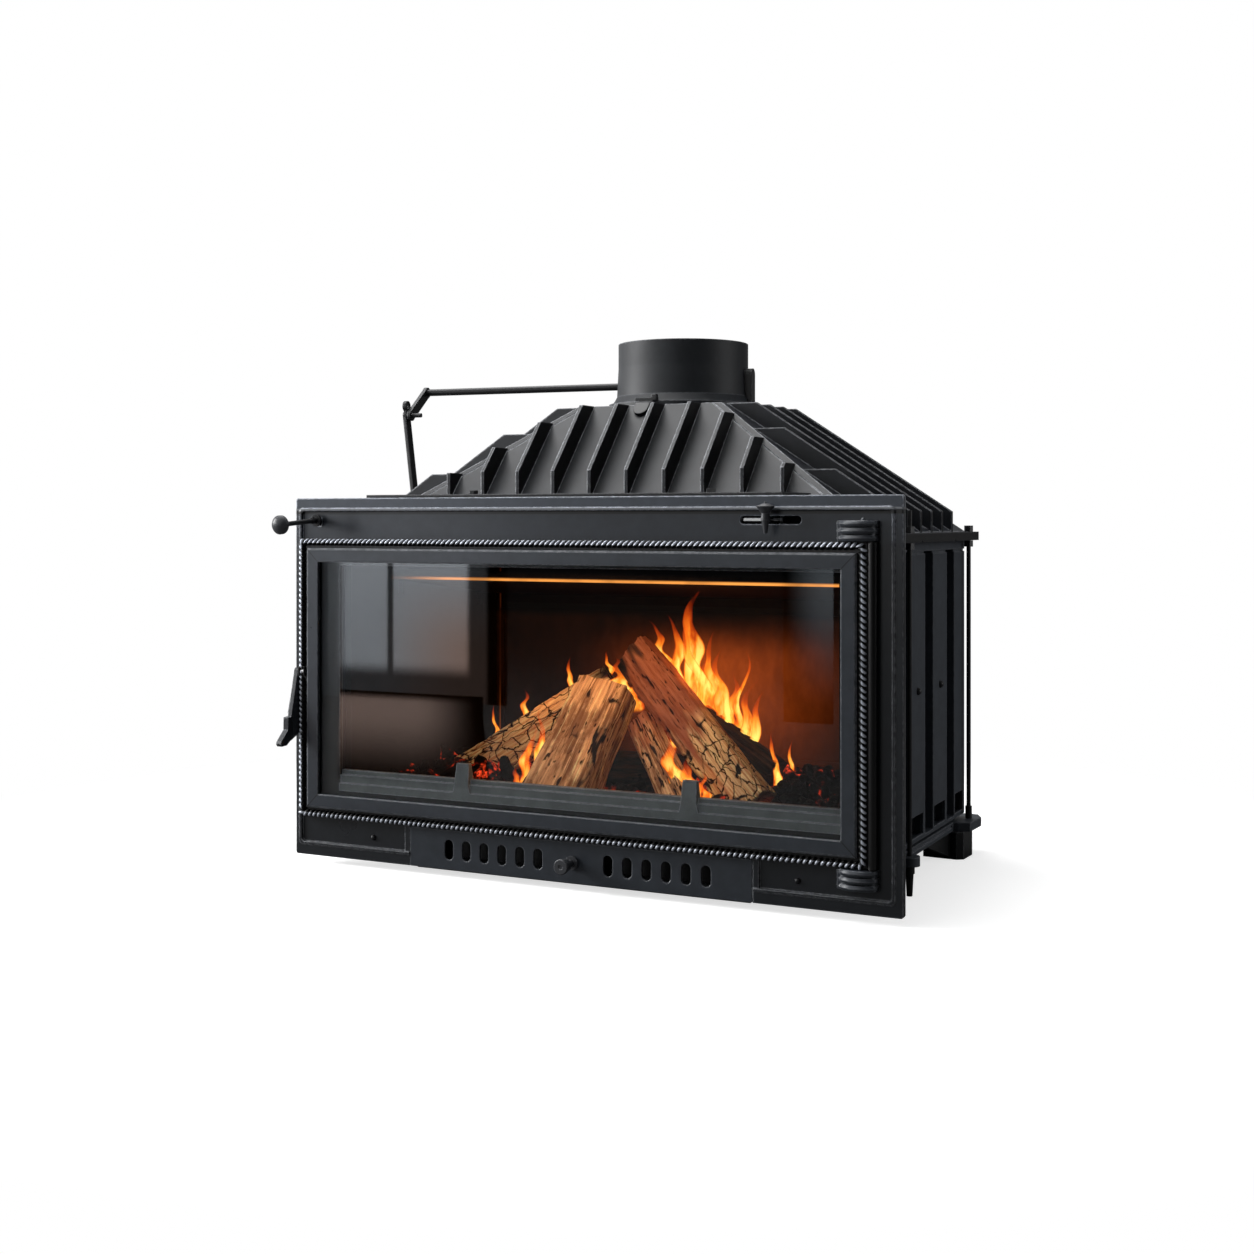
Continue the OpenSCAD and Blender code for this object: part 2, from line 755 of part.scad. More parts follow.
module hood_front() {
    color("#4a4c52") in_case() {
        difference() {
            intersection() {
                hood_between_sides(side_cut + joint_gap);
                hood_between_ends(0);
            }
            hood_between_ends_open_front();
        }
        difference() {
            for (i = [0:front_ribs - 1]) {
                front_rib((i - (front_ribs - 1) / 2) * front_rib_pitch - front_rib_shift);
            }
            hood_side_room();
        }
    }
}

// All of the hood's length behind the front casting
module hood_between_ends_open_front() {
    along_x(-hood_foot_x - 1, hood_foot_x + 1) polygon([
        [hood_foot_y + front_cut, ledge_top - 1], [hood_foot_rear + 9, ledge_top - 1],
        [hood_foot_rear + 9, hood_top_z + 1], [hood_top_y + front_cut, hood_top_z + 1]
    ]);
}

module hood_rear() {
    color("#3b3c41") in_case() {
        difference() {
            intersection() {
                hood_between_sides(side_cut + joint_gap);
                hood_between_ends(0);
            }
            along_x(-hood_foot_x - 1, hood_foot_x + 1) polygon([
                [hood_foot_y - 9, ledge_top - 1], [hood_foot_rear - hood_t, ledge_top - 1],
                [hood_top_rear - hood_t, hood_top_z + 1], [hood_foot_y - 9, hood_top_z + 1]
            ]);
        }
        difference() {
            for (i = [0:front_ribs - 1]) {
                x = (i - (front_ribs - 1) / 2) * front_rib_pitch;
                top = min(hood_top_z, side_z(abs(x))) - 6;
                along_x(x - rib_t / 2, x + rib_t / 2) polygon([
                    [hood_foot_rear - 2, ledge_top + 4], [hood_foot_rear + rear_rib_h, ledge_top + 4],
                    [rear_y(top) + rear_rib_h, top], [rear_y(top) - 2, top]
                ]);
            }
            hood_side_room();
        }
    }
}

function rear_y(z) = hood_foot_rear
    + (hood_top_rear - hood_foot_rear) * (z - ledge_top) / (hood_top_z - ledge_top);

// A side rib: it stands on the ledge, follows the slope and stops at the hip
module side_rib(y) {
    top = min(hood_top_z, slope_z(y - rib_t / 2) - joint_gap);
    upright(y - rib_t / 2, y + rib_t / 2) polygon([
        [hood_foot_x, ledge_top], [hood_foot_x, ledge_top + side_rib_h],
        [side_x(top - side_rib_h), top], [side_x(top) - 1, top], [hood_foot_x - 6, ledge_top]
    ]);
}

module hood_side() {
    difference() {
        intersection() {
            hood_between_sides(0);
            hood_between_ends(0);
        }
        hood_between_sides(side_cut);
        block([-hood_foot_x - 1, 0, ledge_top - 1], [0, hood_foot_rear + 1, hood_top_z + 1]);
    }
    for (i = [0:side_ribs - 1]) {
        difference() {
            side_rib(hood_foot_y + side_rib_lead + i * side_rib_pitch);
            hood_between_sides(side_cut);
        }
    }
}

module hood_right() {
    color("#3b3c41") in_case() hood_side();
}

module hood_left() {
    color("#3b3c41") in_case() mirror([1, 0, 0]) hood_side();
}

// Flat top between the slopes, with the hole for the flue
module hood_top() {
    half = hood_top_x - side_cut - joint_gap;
    color("#3b3c41") in_case() difference() {
        block([-half, hood_top_y + front_cut + joint_gap, hood_top_z - hood_t],
              [half, hood_top_rear - hood_t - joint_gap, hood_top_z]);
        bar_z(0, flue_y, hood_top_z - hood_t - 1, hood_top_z + 1, flue_bore_r);
    }
}

// Section: flue collar

module flue_collar() {
    color("#2f3034") in_case() difference() {
        collar_skin(0);
        bar_z(0, flue_y, hood_top_z - 1, collar_top + 1, flue_bore_r);
        // Bearing holes for the damper shaft
        damper_place() bar_x(-flange_r, flange_r, 0, 0, shaft_r + running);
    }
}

// Outer form of the flue collar, grown by d above its flange
module collar_skin(d) {
    translate([0, flue_y, hood_top_z]) rotate_extrude($fn = 96) polygon([
        [0, 0], [flange_r, 0], [flange_r, flange_t + d], [collar_foot_r + 6 + d, flange_t + d],
        [collar_foot_r + 4 + d, flange_t + 3 + d], [collar_foot_r + d, flange_t + 10 + d],
        [spigot_r + d, collar_h - spigot_len], [spigot_r + d, collar_h], [0, collar_h]
    ]);
}

// Hook clamps front and back, the front one with a tongue down the slope, and the bearing lug on the right
module collar_clamps() {
    tongue_r = 10;
    color("#2a2b2e") in_case() {
        translate([-7, flue_y, hood_top_z + flange_t]) {
            for (s = [0, 1]) mirror([0, s, 0]) {
                block([-15, -flange_r - 4, 0.1], [15, -flange_r + 3.6, 4]);
                block([-tongue_r, -flange_r - 4, 0.2 - flange_t], [tongue_r, -flange_r - 0.4, 3]);
                block([8, -flange_r - 4, 3], [15, -flange_r + 2, 8]);
            }
            block([-tongue_r, -hood_top_lead - 0.5, 0.2 - flange_t], [tongue_r, -flange_r - 3.9, 4 - flange_t]);
        }
        translate([-7, hood_top_y, hood_top_z]) rotate([atan(front_slope), 0, 0]) translate([0, 0, 0.2]) {
            linear_extrude(3.8) {
                translate([0, -tongue_r]) circle(r = tongue_r - 0.1);
                translate([-tongue_r, -tongue_r]) square([2 * tongue_r, tongue_r]);
            }
        }
        // Lug that closes the right end of the damper shaft
        difference() {
            damper_place() along_x(collar_foot_r - 2, collar_foot_r + 9) {
                translate([-8, -shaft_rise]) square([16, shaft_rise + 11]);
                translate([0, 11]) circle(r = 7.9);
            }
            collar_skin(joint_gap);
            damper_place() bar_x(0, collar_foot_r + 6.5, 0, 0, shaft_r + running);
        }
    }
}

// Section: firebox

module side_linings() {
    x0 = side_in - 2 - lining_t;
    color("#3a342f") in_case() both_sides() {
        block([x0, front_t + 6, base_top], [side_in - 2, fireback_y - joint_gap, ledge_low - 4]);
        // Lugs that carry the baffle
        for (y = [baffle_y + 27, fireback_y - 42]) {
            block([x0 - 9, y - 12, baffle_under(y) - 18], [x0 + eps, y + 12, baffle_under(y + 12) - joint_gap]);
        }
    }
}

function baffle_under(y) = baffle_z - (y - baffle_y) * 0.11;

module fireback() {
    half = side_in - 2;
    color("#3a2f28") in_case() {
        block([-half, fireback_y, base_top], [half, fireback_y + fireback_t, ledge_low - 4]);
        // Cast border on its face
        difference() {
            block([-half + lining_t + 8, fireback_y - 2.5, hearth_z + 20],
                  [half - lining_t - 8, fireback_y + eps, baffle_z - 50]);
            block([-half + lining_t + 14, fireback_y - 3, hearth_z + 26],
                  [half - lining_t - 14, fireback_y + 1, baffle_z - 56]);
        }
    }
}

module baffle() {
    half = side_in - 2 - lining_t - joint_gap;
    y1 = fireback_y - 12;
    color("#4a3a30") in_case() along_x(-half, half) polygon([
        [baffle_y, baffle_under(baffle_y)], [y1, baffle_under(y1)],
        [y1, baffle_under(y1) + 12], [baffle_y, baffle_under(baffle_y) + 12]
    ]);
}

// Hearth plate on four skirt walls, with the seat for the grate
module hearth_plate() {
    half = side_in - 2 - lining_t - joint_gap;
    y0 = front_t + 6;
    y1 = fireback_y - joint_gap;
    mid = (y0 + y1) / 2;
    color("#332c28") in_case() difference() {
        block([-half, y0, base_top], [half, y1, hearth_z]);
        block([-half + 8, y0 + 6, base_top - 1], [half - 8, y1 - 6, hearth_z - hearth_t]);
        block([-grate_w / 2 + 8, mid - grate_d / 2 + 8, base_top], [grate_w / 2 - 8, mid + grate_d / 2 - 8, hearth_z + 1]);
        block([-grate_w / 2, mid - grate_d / 2, hearth_z - 4], [grate_w / 2, mid + grate_d / 2, hearth_z + 1]);
    }
}

// Cast grate with slots between its bars
module grate() {
    mid = (front_t + 6 + fireback_y - joint_gap) / 2;
    w = grate_w - 2 * joint_gap;
    d = grate_d - 2 * joint_gap;
    bars = floor((w - 30) / 22);
    color("#2a2624") in_case() difference() {
        block([-w / 2, mid - d / 2, hearth_z - 4], [w / 2, mid + d / 2, hearth_z + 6]);
        for (i = [0:bars - 1]) {
            x = (i - (bars - 1) / 2) * 22;
            block([x - 5.5, mid - d / 2 + 14, hearth_z - 6], [x + 5.5, mid - 6, hearth_z + 7]);
            block([x - 5.5, mid + 6, hearth_z - 6], [x + 5.5, mid + d / 2 - 14, hearth_z + 7]);
        }
    }
}

// Stepped sill across the fire opening, with two log posts
module log_guard() {
    half = mouth_half - joint_gap;
    y0 = 0.4;
    y1 = front_t + 5.7;
    top = guard_top + 19;
    color("#2f3335") in_case() {
        along_x(-half, half) polygon([
            [y0, mouth_low - 4], [y0, mouth_low + 6], [field_depth + 0.5, mouth_low + 6],
            [field_depth + 0.5, guard_top - 6], [field_depth + 4, guard_top - 6], [field_depth + 4, guard_top],
            [y1, guard_top], [y1, mouth_low], [field_depth, mouth_low], [field_depth, mouth_low - 4]
        ]);
        for (s = [-1, 1]) translate([s * post_x - post_shift, 0, 0]) intersection() {
            along_x(-post_w, post_w) polygon([
                [y0, mouth_low], [y0, mouth_low + 12], [5, top], [11, top], [y1, guard_top - 2], [y1, mouth_low]
            ]);
            // Slim post that flares into its foot
            upright(0, y1 + 1) polygon([
                [-post_w / 2 - 4, mouth_low - 1], [post_w / 2 + 6, mouth_low - 1], [post_w / 2 + 2, mouth_low + 8],
                [post_w / 2, mouth_low + 16], [post_w / 2 - 1.5, top], [-post_w / 2 + 1.5, top],
                [-post_w / 2, mouth_low + 12]
            ]);
        }
    }
}

// Section: hinges

// Three stacked round ribs with a hole for the pin, from z0 up
module hinge_block(z0) {
    rib_h = (hinge_block_h - 3) / 3;
    left = hinge_x + column_r - hinge_block_w;
    difference() {
        union() {
            // Each rib bulges out between its two edges
            for (i = [0:2]) translate([0, 0, z0 + i * (rib_h + 1.5)]) intersection() {
                translate([hinge_x - 16, 12]) {
                    cylinder(r1 = 26, r2 = 28, h = rib_h / 2, $fn = 64);
                    translate([0, 0, rib_h / 2 - eps]) cylinder(r1 = 28, r2 = 26, h = rib_h / 2 + eps, $fn = 64);
                }
                block([left, -20, 0], [hinge_x + column_r, field_depth, rib_h]);
            }
            block([left + 3, -7, z0 + 0.5], [hinge_x + 4, field_depth, z0 + hinge_block_h - 0.5]);
        }
        bar_z(hinge_x, hinge_y, z0 - 1, z0 + hinge_block_h + 1, hinge_r + running);
    }
}

module hinge_blocks() {
    color("#2c2d30") in_case() {
        hinge_block(door_high + hinge_gap);
        // Cast boss on top
        translate([hinge_x - 8.5, -9, door_high + hinge_gap + hinge_block_h - 1]) cylinder(r1 = 3.4, r2 = 1.6, h = 4);
        hinge_block(door_low - hinge_gap - hinge_block_h);
    }
}

module hinge_pins() {
    top = door_high + hinge_gap + hinge_block_h;
    low = door_low - hinge_gap - hinge_block_h;
    color("#6a6c70") in_case() {
        bar_z(hinge_x, hinge_y, door_high - 14, top, hinge_r);
        bar_z(hinge_x, hinge_y, low, door_low + 14, hinge_r);
    }
}

// Section: door

// A rectangular outline about the middle of the window
module window_outline(w, h) {
    translate([-window_shift, door_mid]) square([w, h], center = true);
}

// A rectangular outline about the middle of the door
module door_outline(w, h) {
    translate([-door_shift, door_mid]) square([w, h], center = true);
}

module door_frame() {
    frame_w = window_w + 2 * mitre_w;
    frame_h = window_h + 2 * mitre_w;
    color("#2a2b2e") in_case() difference() {
        union() {
            upright(-flange_proud, door_back) translate([-door_shift, door_mid]) rounded(door_w, door_h, 3);
            upright(-door_proud + 1.5, -flange_proud + eps) window_outline(frame_w, frame_h);
            upright(-door_proud, -door_proud + 1.5 + eps) window_outline(frame_w - 3, frame_h - 3);
            // Hinge column and its web
            bar_z(hinge_x, hinge_y, door_low, door_high, column_r);
            block([door_right - 4, -flange_proud, door_low + 1], [hinge_x, door_back - 0.4, door_high - 1]);
            // Boss that carries the handle
            block([door_left, handle_y - 5, handle_z - 6], [door_left + 10, -flange_proud + eps, handle_z + 6]);
        }
        upright(-door_proud - 1, door_back + 1) window_outline(window_w, window_h);
        // Rebate for the glass
        upright(glass_y - 0.5, door_back + 1) {
            window_outline(window_w + 2 * glass_lap + 1, window_h + 2 * glass_lap + 1);
        }
        seal_ring(seal_w + 0.4, door_back - 4, door_back + 1);
        for (z = [door_low - 1, door_high - 16]) bar_z(hinge_x, hinge_y, z, z + 17, hinge_r + running);
        // Handle pin hole and the window for the latch finger
        bar_x(door_left - 1, door_left + 12, handle_y, handle_z, handle_pin_r + running);
        block([door_left + 3, handle_y - 6, handle_z - 12], [door_left + 8.8, door_back + 1, handle_z + 5.5]);
    }
}

// A rectangular ring behind the door flange, w wide
module seal_ring(w, y0, y1) {
    mid = door_w - 2 * seal_inset;
    mid_h = door_h - 2 * seal_inset;
    upright(y0, y1) difference() {
        door_outline(mid + w, mid_h + w);
        door_outline(mid - w, mid_h - w);
    }
}

module door_seal() {
    color("#8a8880") in_case() seal_ring(seal_w, door_back - 3.9, field_depth - joint_gap);
}

// Plain bars where the rope moulding runs, in front of the flange
module rope_moulding() {
    x0 = door_left + rope_inset;
    x1 = door_right - rope_inset;
    z0 = door_low + rope_inset;
    z1 = door_high - rope_inset;
    y = -flange_proud - rope_r * 0.55;
    color("#1f2023") in_case() difference() {
        union() {
            for (z = [z0, z1]) bar_x(x0, x1, y, z, rope_r);
            bar_z(x0, y, z0, z1, rope_r);
            bar_z(x1, y, z0, z1, rope_r);
            for (x = [x0, x1], z = [z0, z1]) translate([x, y, z]) sphere(r = rope_r + 0.15);
        }
        block([-front_w, -flange_proud, 0], [front_w, 20, front_h]);
        block([door_left - 1, -30, handle_z - 6.3], [door_left + 11, 0, handle_z + 6.3]);
    }
}

module window_glass() {
    color("#9fb4b8", 0.35) in_case() upright(glass_y, glass_y + glass_t) {
        window_outline(window_w + 2 * glass_lap, window_h + 2 * glass_lap);
    }
}

// Small clips behind the glass
module glass_clips() {
    y0 = glass_y + glass_t;
    w = window_w / 2 + glass_lap - 2.3;
    h = window_h / 2 + glass_lap - 2.3;
    half = 2.7;
    color("#5d5f63") in_case() translate([-window_shift, 0, door_mid]) {
        for (x = [-0.35, 0, 0.35] * window_w, s = [-1, 1]) {
            block([x - 9, y0, s * h - half], [x + 9, y0 + 2, s * h + half]);
        }
        for (z = [-0.28, 0.28] * window_h, s = [-1, 1]) {
            block([s * w - half, y0, z - 9], [s * w + half, y0 + 2, z + 9]);
        }
    }
}

// Section: door handle

module door_handle() {
    x1 = handle_x;
    x0 = x1 - handle_t;
    color("#27282b") in_case() {
        along_x(x0, x1) translate([handle_y, handle_z]) {
            polygon([[3.6, 0], [2.8, -76], [-4.6, -80], [-17.6, -86], [-17.2, -57], [-4, 1]]);
            circle(r = 4.4);
        }
        // Raised front edge
        along_x(x0 - 1.6, x0 + 1) translate([handle_y, handle_z]) {
            polygon([[-2.8, -5], [-15, -52], [-11.2, -52], [-0.4, -5]]);
        }
        // Thick grip and toe
        along_x(x0 - 1.6, x1 + 0.2) translate([handle_y, handle_z]) {
            polygon([
                [-13.6, -55.5], [-23.4, -56.5], [-24, -72], [-37, -85], [-38.6, -88], [-36, -91.5],
                [-26, -91], [-12, -81]
            ]);
        }
        bar_x(x1 - eps, door_left + 10, handle_y, handle_z, handle_pin_r);
    }
}

// Finger on the handle's pin that enters the front frame
module latch_finger() {
    color("#6a6c70") in_case() difference() {
        along_x(door_left + 3.4, door_left + 8.4) translate([handle_y, handle_z]) {
            circle(r = 4);
            polygon([[0, -4], [19, -2], [21, 0], [21, 2], [0, 4]]);
        }
        bar_x(door_left + 2, door_left + 10, handle_y, handle_z, handle_pin_r);
    }
}

// Section: damper linkage

// Frame of the damper shaft: X along the shaft, origin on the flue axis
module damper_place() {
    translate([0, flue_y, shaft_z]) rotate([0, 0, damper_yaw]) children();
}

module damper_shaft() {
    color("#34353a") in_case() damper_place() difference() {
        bar_x(-shaft_reach - 2, collar_foot_r + 6, 0, 0, shaft_r);
        // Flat that the plate is screwed to
        block([-damper_r - 1, -shaft_r - 1, damper_t / 2 - 0.4], [damper_r + 1, shaft_r + 1, shaft_r + 1]);
    }
}

module damper_plate() {
    color("#2b2c2f") in_case() damper_place() difference() {
        translate([0, 0, damper_t / 2 - 0.4]) cylinder(r = damper_r, h = damper_t, $fn = 96);
        // Notch that always lets some smoke pass
        translate([0, -damper_r, 0]) cylinder(r = 22, h = 20);
    }
}

// Flat crank with a round hole at each end
module damper_crank() {
    color("#232427") in_case() damper_place() {
        difference() {
            union() {
                along_x(crank_x - bar_t / 2, crank_x + bar_t / 2) {
                    circle(d = crank_w);
                    translate([crank_dy, crank_dz]) circle(d = crank_w);
                    rotate(180 + crank_rest) translate([0, -crank_w / 2 + 0.5]) square([crank_len, crank_w - 1]);
                }
            }
            bar_x(crank_x - bar_t, crank_x + bar_t, 0, 0, shaft_r);
        }
        bar_x(link_x - bar_t / 2 - 1.5, crank_x + bar_t / 2 + 14, crank_dy, crank_dz, link_pin_r);
    }
}

// Point of the crank's pin in the case frame, x along the damper shaft
function crank_pin(x) = [
    x * cos(damper_yaw) - crank_dy * sin(damper_yaw),
    flue_y + x * sin(damper_yaw) + crank_dy * cos(damper_yaw),
    shaft_z + crank_dz
];

// Outline of the loose slot, grown by d
module loose_slot(d) {
    for (s = [-1, 1]) translate([s * (loose_half - loose_r), 0]) circle(r = loose_r + d);
    square([2 * (loose_half - loose_r), 2 * (loose_r + d)], center = true);
}

// Bar from the crank's pin down to the loose slot round the lever's rear pin
module damper_link() {
    top = crank_pin(link_x);
    eye_x = -lever_x - lever_r - 5;
    drop = top[2] - lever_end_z;
    lean = atan2(eye_x - top[0], drop);
    len = drop / cos(lean);
    color("#232427") in_case() difference() {
        union() {
            // Upper eye on the crank's pin, and the curl above it
            damper_place() bar_x(link_x - bar_t / 2, link_x + bar_t / 2, crank_dy, crank_dz, link_pin_r + 3.5);
            translate(top) rotate([0, -lean, 0]) {
                block([-bar_t / 2, -link_w / 2, -len + loose_r + 1], [bar_t / 2, link_w / 2, -3]);
            }
            damper_place() translate([link_x, crank_dy, crank_dz + 13]) rotate([0, 90, 0]) difference() {
                cylinder(r = 7.5, h = bar_t, center = true);
                cylinder(r = 3.5, h = bar_t + 1, center = true);
            }
            along_x(eye_x - bar_t / 2, eye_x + bar_t / 2) translate([top[1], lever_end_z]) loose_slot(3.5);
        }
        damper_place() bar_x(link_x - bar_t, link_x + bar_t, crank_dy, crank_dz, link_pin_r + running);
        along_x(eye_x - bar_t, eye_x + bar_t) translate([top[1], lever_end_z]) loose_slot(0);
    }
}

// Frame of the control lever: origin on its pivot, Y along the rod to the back
module lever_place() {
    translate([-lever_x, lever_pivot_y, lever_z]) rotate([lever_rest, 0, 0]) children();
}

module control_lever() {
    collar_y = -lever_pivot_y - 1.5;
    color("#27282b") in_case() difference() {
        union() {
            lever_place() {
                bar_y(0, -lever_front + knob_half - 2, lever_rear, 0, lever_r, lever_r);
                bar_x(-barrel_half, barrel_half, 0, 0, lever_pivot_y - front_t - 0.8);
                // Collar in front of the slot in the frame, and its set screw
                bar_y(0, collar_y - 3.5, collar_y, 0, 7.5, 7.5);
                bar_z(0, collar_y - 9, 0, lever_r + 1.8, 2);
                bar_y(0, collar_y - 13, collar_y - 3.5 + eps, 0, lever_r + 0.9, lever_r + 0.9);
            }
            // Pin that runs in the loose eye
            lever_place() bar_x(-lever_r - 9, 0, lever_rear, 0, link_pin_r);
            lever_place() bar_x(-lever_r - 10.5, -lever_r - 8.5, lever_rear, 0, link_pin_r + 2);
        }
        lever_place() bar_x(-9, 9, 0, 0, lever_pin_r + running);
    }
}

// Mushroom knob: the lens between two spheres, trimmed at its rim, on a short neck
module ball_knob() {
    rim = ball_r + 1;
    cap_r = (rim * rim + knob_half * knob_half) / (2 * knob_half);
    color("#2f3034") in_case() lever_place() difference() {
        union() {
            translate([0, -lever_front, 0]) intersection() {
                translate([0, cap_r - knob_half, 0]) sphere(r = cap_r, $fn = 96);
                translate([0, knob_half - cap_r, 0]) sphere(r = cap_r, $fn = 96);
                bar_y(0, -2 * knob_half, 2 * knob_half, 0, ball_r, ball_r);
            }
            bar_y(0, -lever_front + knob_half - 2, -lever_front + knob_half + 4, 0, 5.6, 4.2);
        }
        bar_y(0, -lever_front + knob_half - 2, 0, 0, lever_r, lever_r);
    }
}

// Clevis behind the front frame that holds the lever's pivot pin
module lever_bracket() {
    color("#2a2b2e") in_case() {
        for (x = [-lever_x - barrel_half - 0.4 - cheek_t, -lever_x + barrel_half + 0.4]) {
            block([x, front_t, lever_z - 9], [x + cheek_t, lever_pivot_y + 7, lever_z + 9]);
        }
        bar_x(-lever_x - barrel_half - cheek_t - 1, -lever_x + barrel_half + cheek_t + 1, lever_pivot_y, lever_z,
              lever_pin_r);
    }
}

// Section: air slide

module air_slide() {
    x0 = slide_x - 73;
    x1 = slide_x + 9;
    bar_mid = shutter_y + slide_bar_r;
    color("#b8babd") in_case() {
        block([x0, shutter_y, slide_z - shutter_half], [x1, shutter_y + 2.5, slide_z + shutter_half]);
        bar_x(x0, x1, bar_mid, slide_z, slide_bar_r);
        bar_y(slide_x, -knob_proud + 2.5, shutter_y + 1, slide_z, 2.6, 2.6);
    }
}

// Spool-shaped knob, flared at the top and drawn to a point below
module air_slide_knob() {
    color("#232427") in_case() difference() {
        translate([slide_x, -knob_proud, slide_z - 14.5]) {
            cylinder(r1 = 2, r2 = 4.6, h = 14.5);
            translate([0, 0, 14.4]) cylinder(r1 = 5.2, r2 = 4.6, h = 7.2);
            translate([0, 0, 21.5]) cylinder(r1 = 4.6, r2 = 10.2, h = 8);
            translate([0, 0, 29.4]) cylinder(r1 = 10.4, r2 = 4, h = 3);
            translate([0, 0, 32]) cylinder(r1 = 2.4, r2 = 1.2, h = 2.4);
        }
        bar_y(slide_x, -knob_proud + 2.5, 0, slide_z, 2.6, 2.6);
    }
}

// Angle rails that guide the shutter behind the front frame
module slide_rails() {
    x0 = slide_x - 1.5 * slide_slot_w;
    x1 = slide_x + slide_slot_w * 2 / 3;
    z0 = slide_z - shutter_half - joint_gap;
    z1 = slide_z + shutter_half + joint_gap;
    color("#2a2b2e") in_case() {
        block([x0, front_t, z0 - 3], [x1, shutter_y + 5.5, z0]);
        block([x0, shutter_y + 2.8, z0 - eps], [x1, shutter_y + 5.5, z0 + 4]);
        block([x0, front_t, z1], [x1, shutter_y + 5.5, z1 + 3]);
        block([x0, shutter_y + 2.8, z1 - 4], [x1, shutter_y + 5.5, z1 + eps]);
    }
}

// Section: ash drawer and air valve

module drawer_front() {
    last = air_slot_start + (air_slots - 1) * air_slot_pitch;
    color("#2c2d30") in_case() difference() {
        upright(0, front_t) translate([0, drawer_h / 2]) rounded(drawer_w, drawer_h, 1.5);
        for (s = [-1, 1]) {
            for (i = [0:air_slots - 1]) {
                upright(-1, front_t + 1) translate([s * (air_slot_start + i * air_slot_pitch), air_z]) {
                    rounded(air_slot_w, air_slot_h, air_slot_w / 2 - eps);
                }
            }
            // The front is thinner behind the slots
            upright(air_slot_wall, front_t + 1) translate([s * (air_slot_start + last) / 2, air_z]) {
                rounded(last - air_slot_start + 2 * air_slot_w, air_slot_h + 8, 6);
            }
        }
        bar_y(0, -1, front_t + 1, air_z, stem_r + running, stem_r + running);
    }
}

module ash_pan() {
    half = well_half - 1;
    y1 = well_rear - 8;
    wall = 2;
    color("#4b4d51") in_case() difference() {
        block([-half, front_t, pan_low], [half, y1, base_top - 1.5]);
        block([-half + wall, front_t + 26, pan_low + wall], [half - wall, y1 - wall, drawer_h]);
        block([-half + wall, front_t - 1, pan_low + wall], [half - wall, front_t + 24, drawer_h]);
    }
}

module air_knob() {
    body_r = air_knob_r - 1.8;
    color("#3a3b3f") in_case() {
        bar_y(0, -14, valve_rest_y, air_z, stem_r, stem_r);
        bar_y(0, -3, -1, air_z, stem_r + 4, stem_r + 4);
        translate([0, -30, air_z]) rotate([-90, 0, 0]) rotate_extrude() polygon([
            [0, 0.8], [2.4, 0.8], [3, 0], [air_knob_r - 1, 0], [air_knob_r, 1], [air_knob_r, 4], [body_r, 5.5],
            [body_r, 15], [stem_r + 1, 18], [0, 18]
        ]);
    }
}

module air_valve_plate() {
    reach = air_slot_start + (air_slots - 1) * air_slot_pitch + air_slot_w;
    color("#55575b") in_case() difference() {
        block([-reach, valve_rest_y, air_z - 12.5], [reach, valve_rest_y + 3, air_z + 12.5]);
        bar_y(0, valve_rest_y - 1, valve_rest_y + 4, air_z, stem_r, stem_r);
    }
}

front_frame();
front_screws();
side_panel_left();
side_panel_right();
side_screws();
back_panel();
base_plate();
ash_well();
rear_feet();
front_feet();
tie_rods();
tie_rod_nuts();
top_ledge();
deck_plate();
deck_bolts();
hood_front();
hood_rear();
hood_left();
hood_right();
hood_top();
flue_collar();
collar_clamps();
side_linings();
fireback();
baffle();
hearth_plate();
grate();
log_guard();
hinge_blocks();
hinge_pins();
lever_bracket();
slide_rails();
door_frame();
rope_moulding();
window_glass();
glass_clips();
door_seal();
door_handle();
latch_finger();
damper_shaft();
damper_plate();
damper_crank();
damper_link();
control_lever();
ball_knob();
air_slide();
air_slide_knob();
drawer_front();
ash_pan();
air_knob();
air_valve_plate();
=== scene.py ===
"""Looks of a cast iron fireplace insert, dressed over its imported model."""
import math

import bmesh
import bpy
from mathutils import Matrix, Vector, noise


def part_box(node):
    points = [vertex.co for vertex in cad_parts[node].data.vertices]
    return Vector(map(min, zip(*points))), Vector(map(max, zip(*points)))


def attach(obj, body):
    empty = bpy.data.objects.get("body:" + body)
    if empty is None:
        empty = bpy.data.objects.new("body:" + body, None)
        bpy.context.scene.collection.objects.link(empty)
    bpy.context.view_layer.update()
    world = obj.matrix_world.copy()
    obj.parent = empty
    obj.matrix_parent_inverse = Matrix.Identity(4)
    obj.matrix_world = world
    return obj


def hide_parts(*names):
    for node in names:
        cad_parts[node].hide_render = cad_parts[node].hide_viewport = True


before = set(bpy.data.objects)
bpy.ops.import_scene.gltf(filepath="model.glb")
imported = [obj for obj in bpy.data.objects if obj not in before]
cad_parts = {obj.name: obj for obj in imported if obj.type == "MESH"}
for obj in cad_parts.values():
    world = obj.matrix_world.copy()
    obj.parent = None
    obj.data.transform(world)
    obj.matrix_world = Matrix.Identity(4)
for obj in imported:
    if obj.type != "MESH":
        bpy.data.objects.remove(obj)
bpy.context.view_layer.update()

bl_info = {
    "name": "Fireplace Insert Looks",
    "version": (1, 0, 0),
    "blender": (4, 5, 0),
    "location": "View3D > Sidebar > Insert",
    "description": "Builds the finishes, rope moulding, fire and studio of a fireplace insert",
    "category": "Object",
}

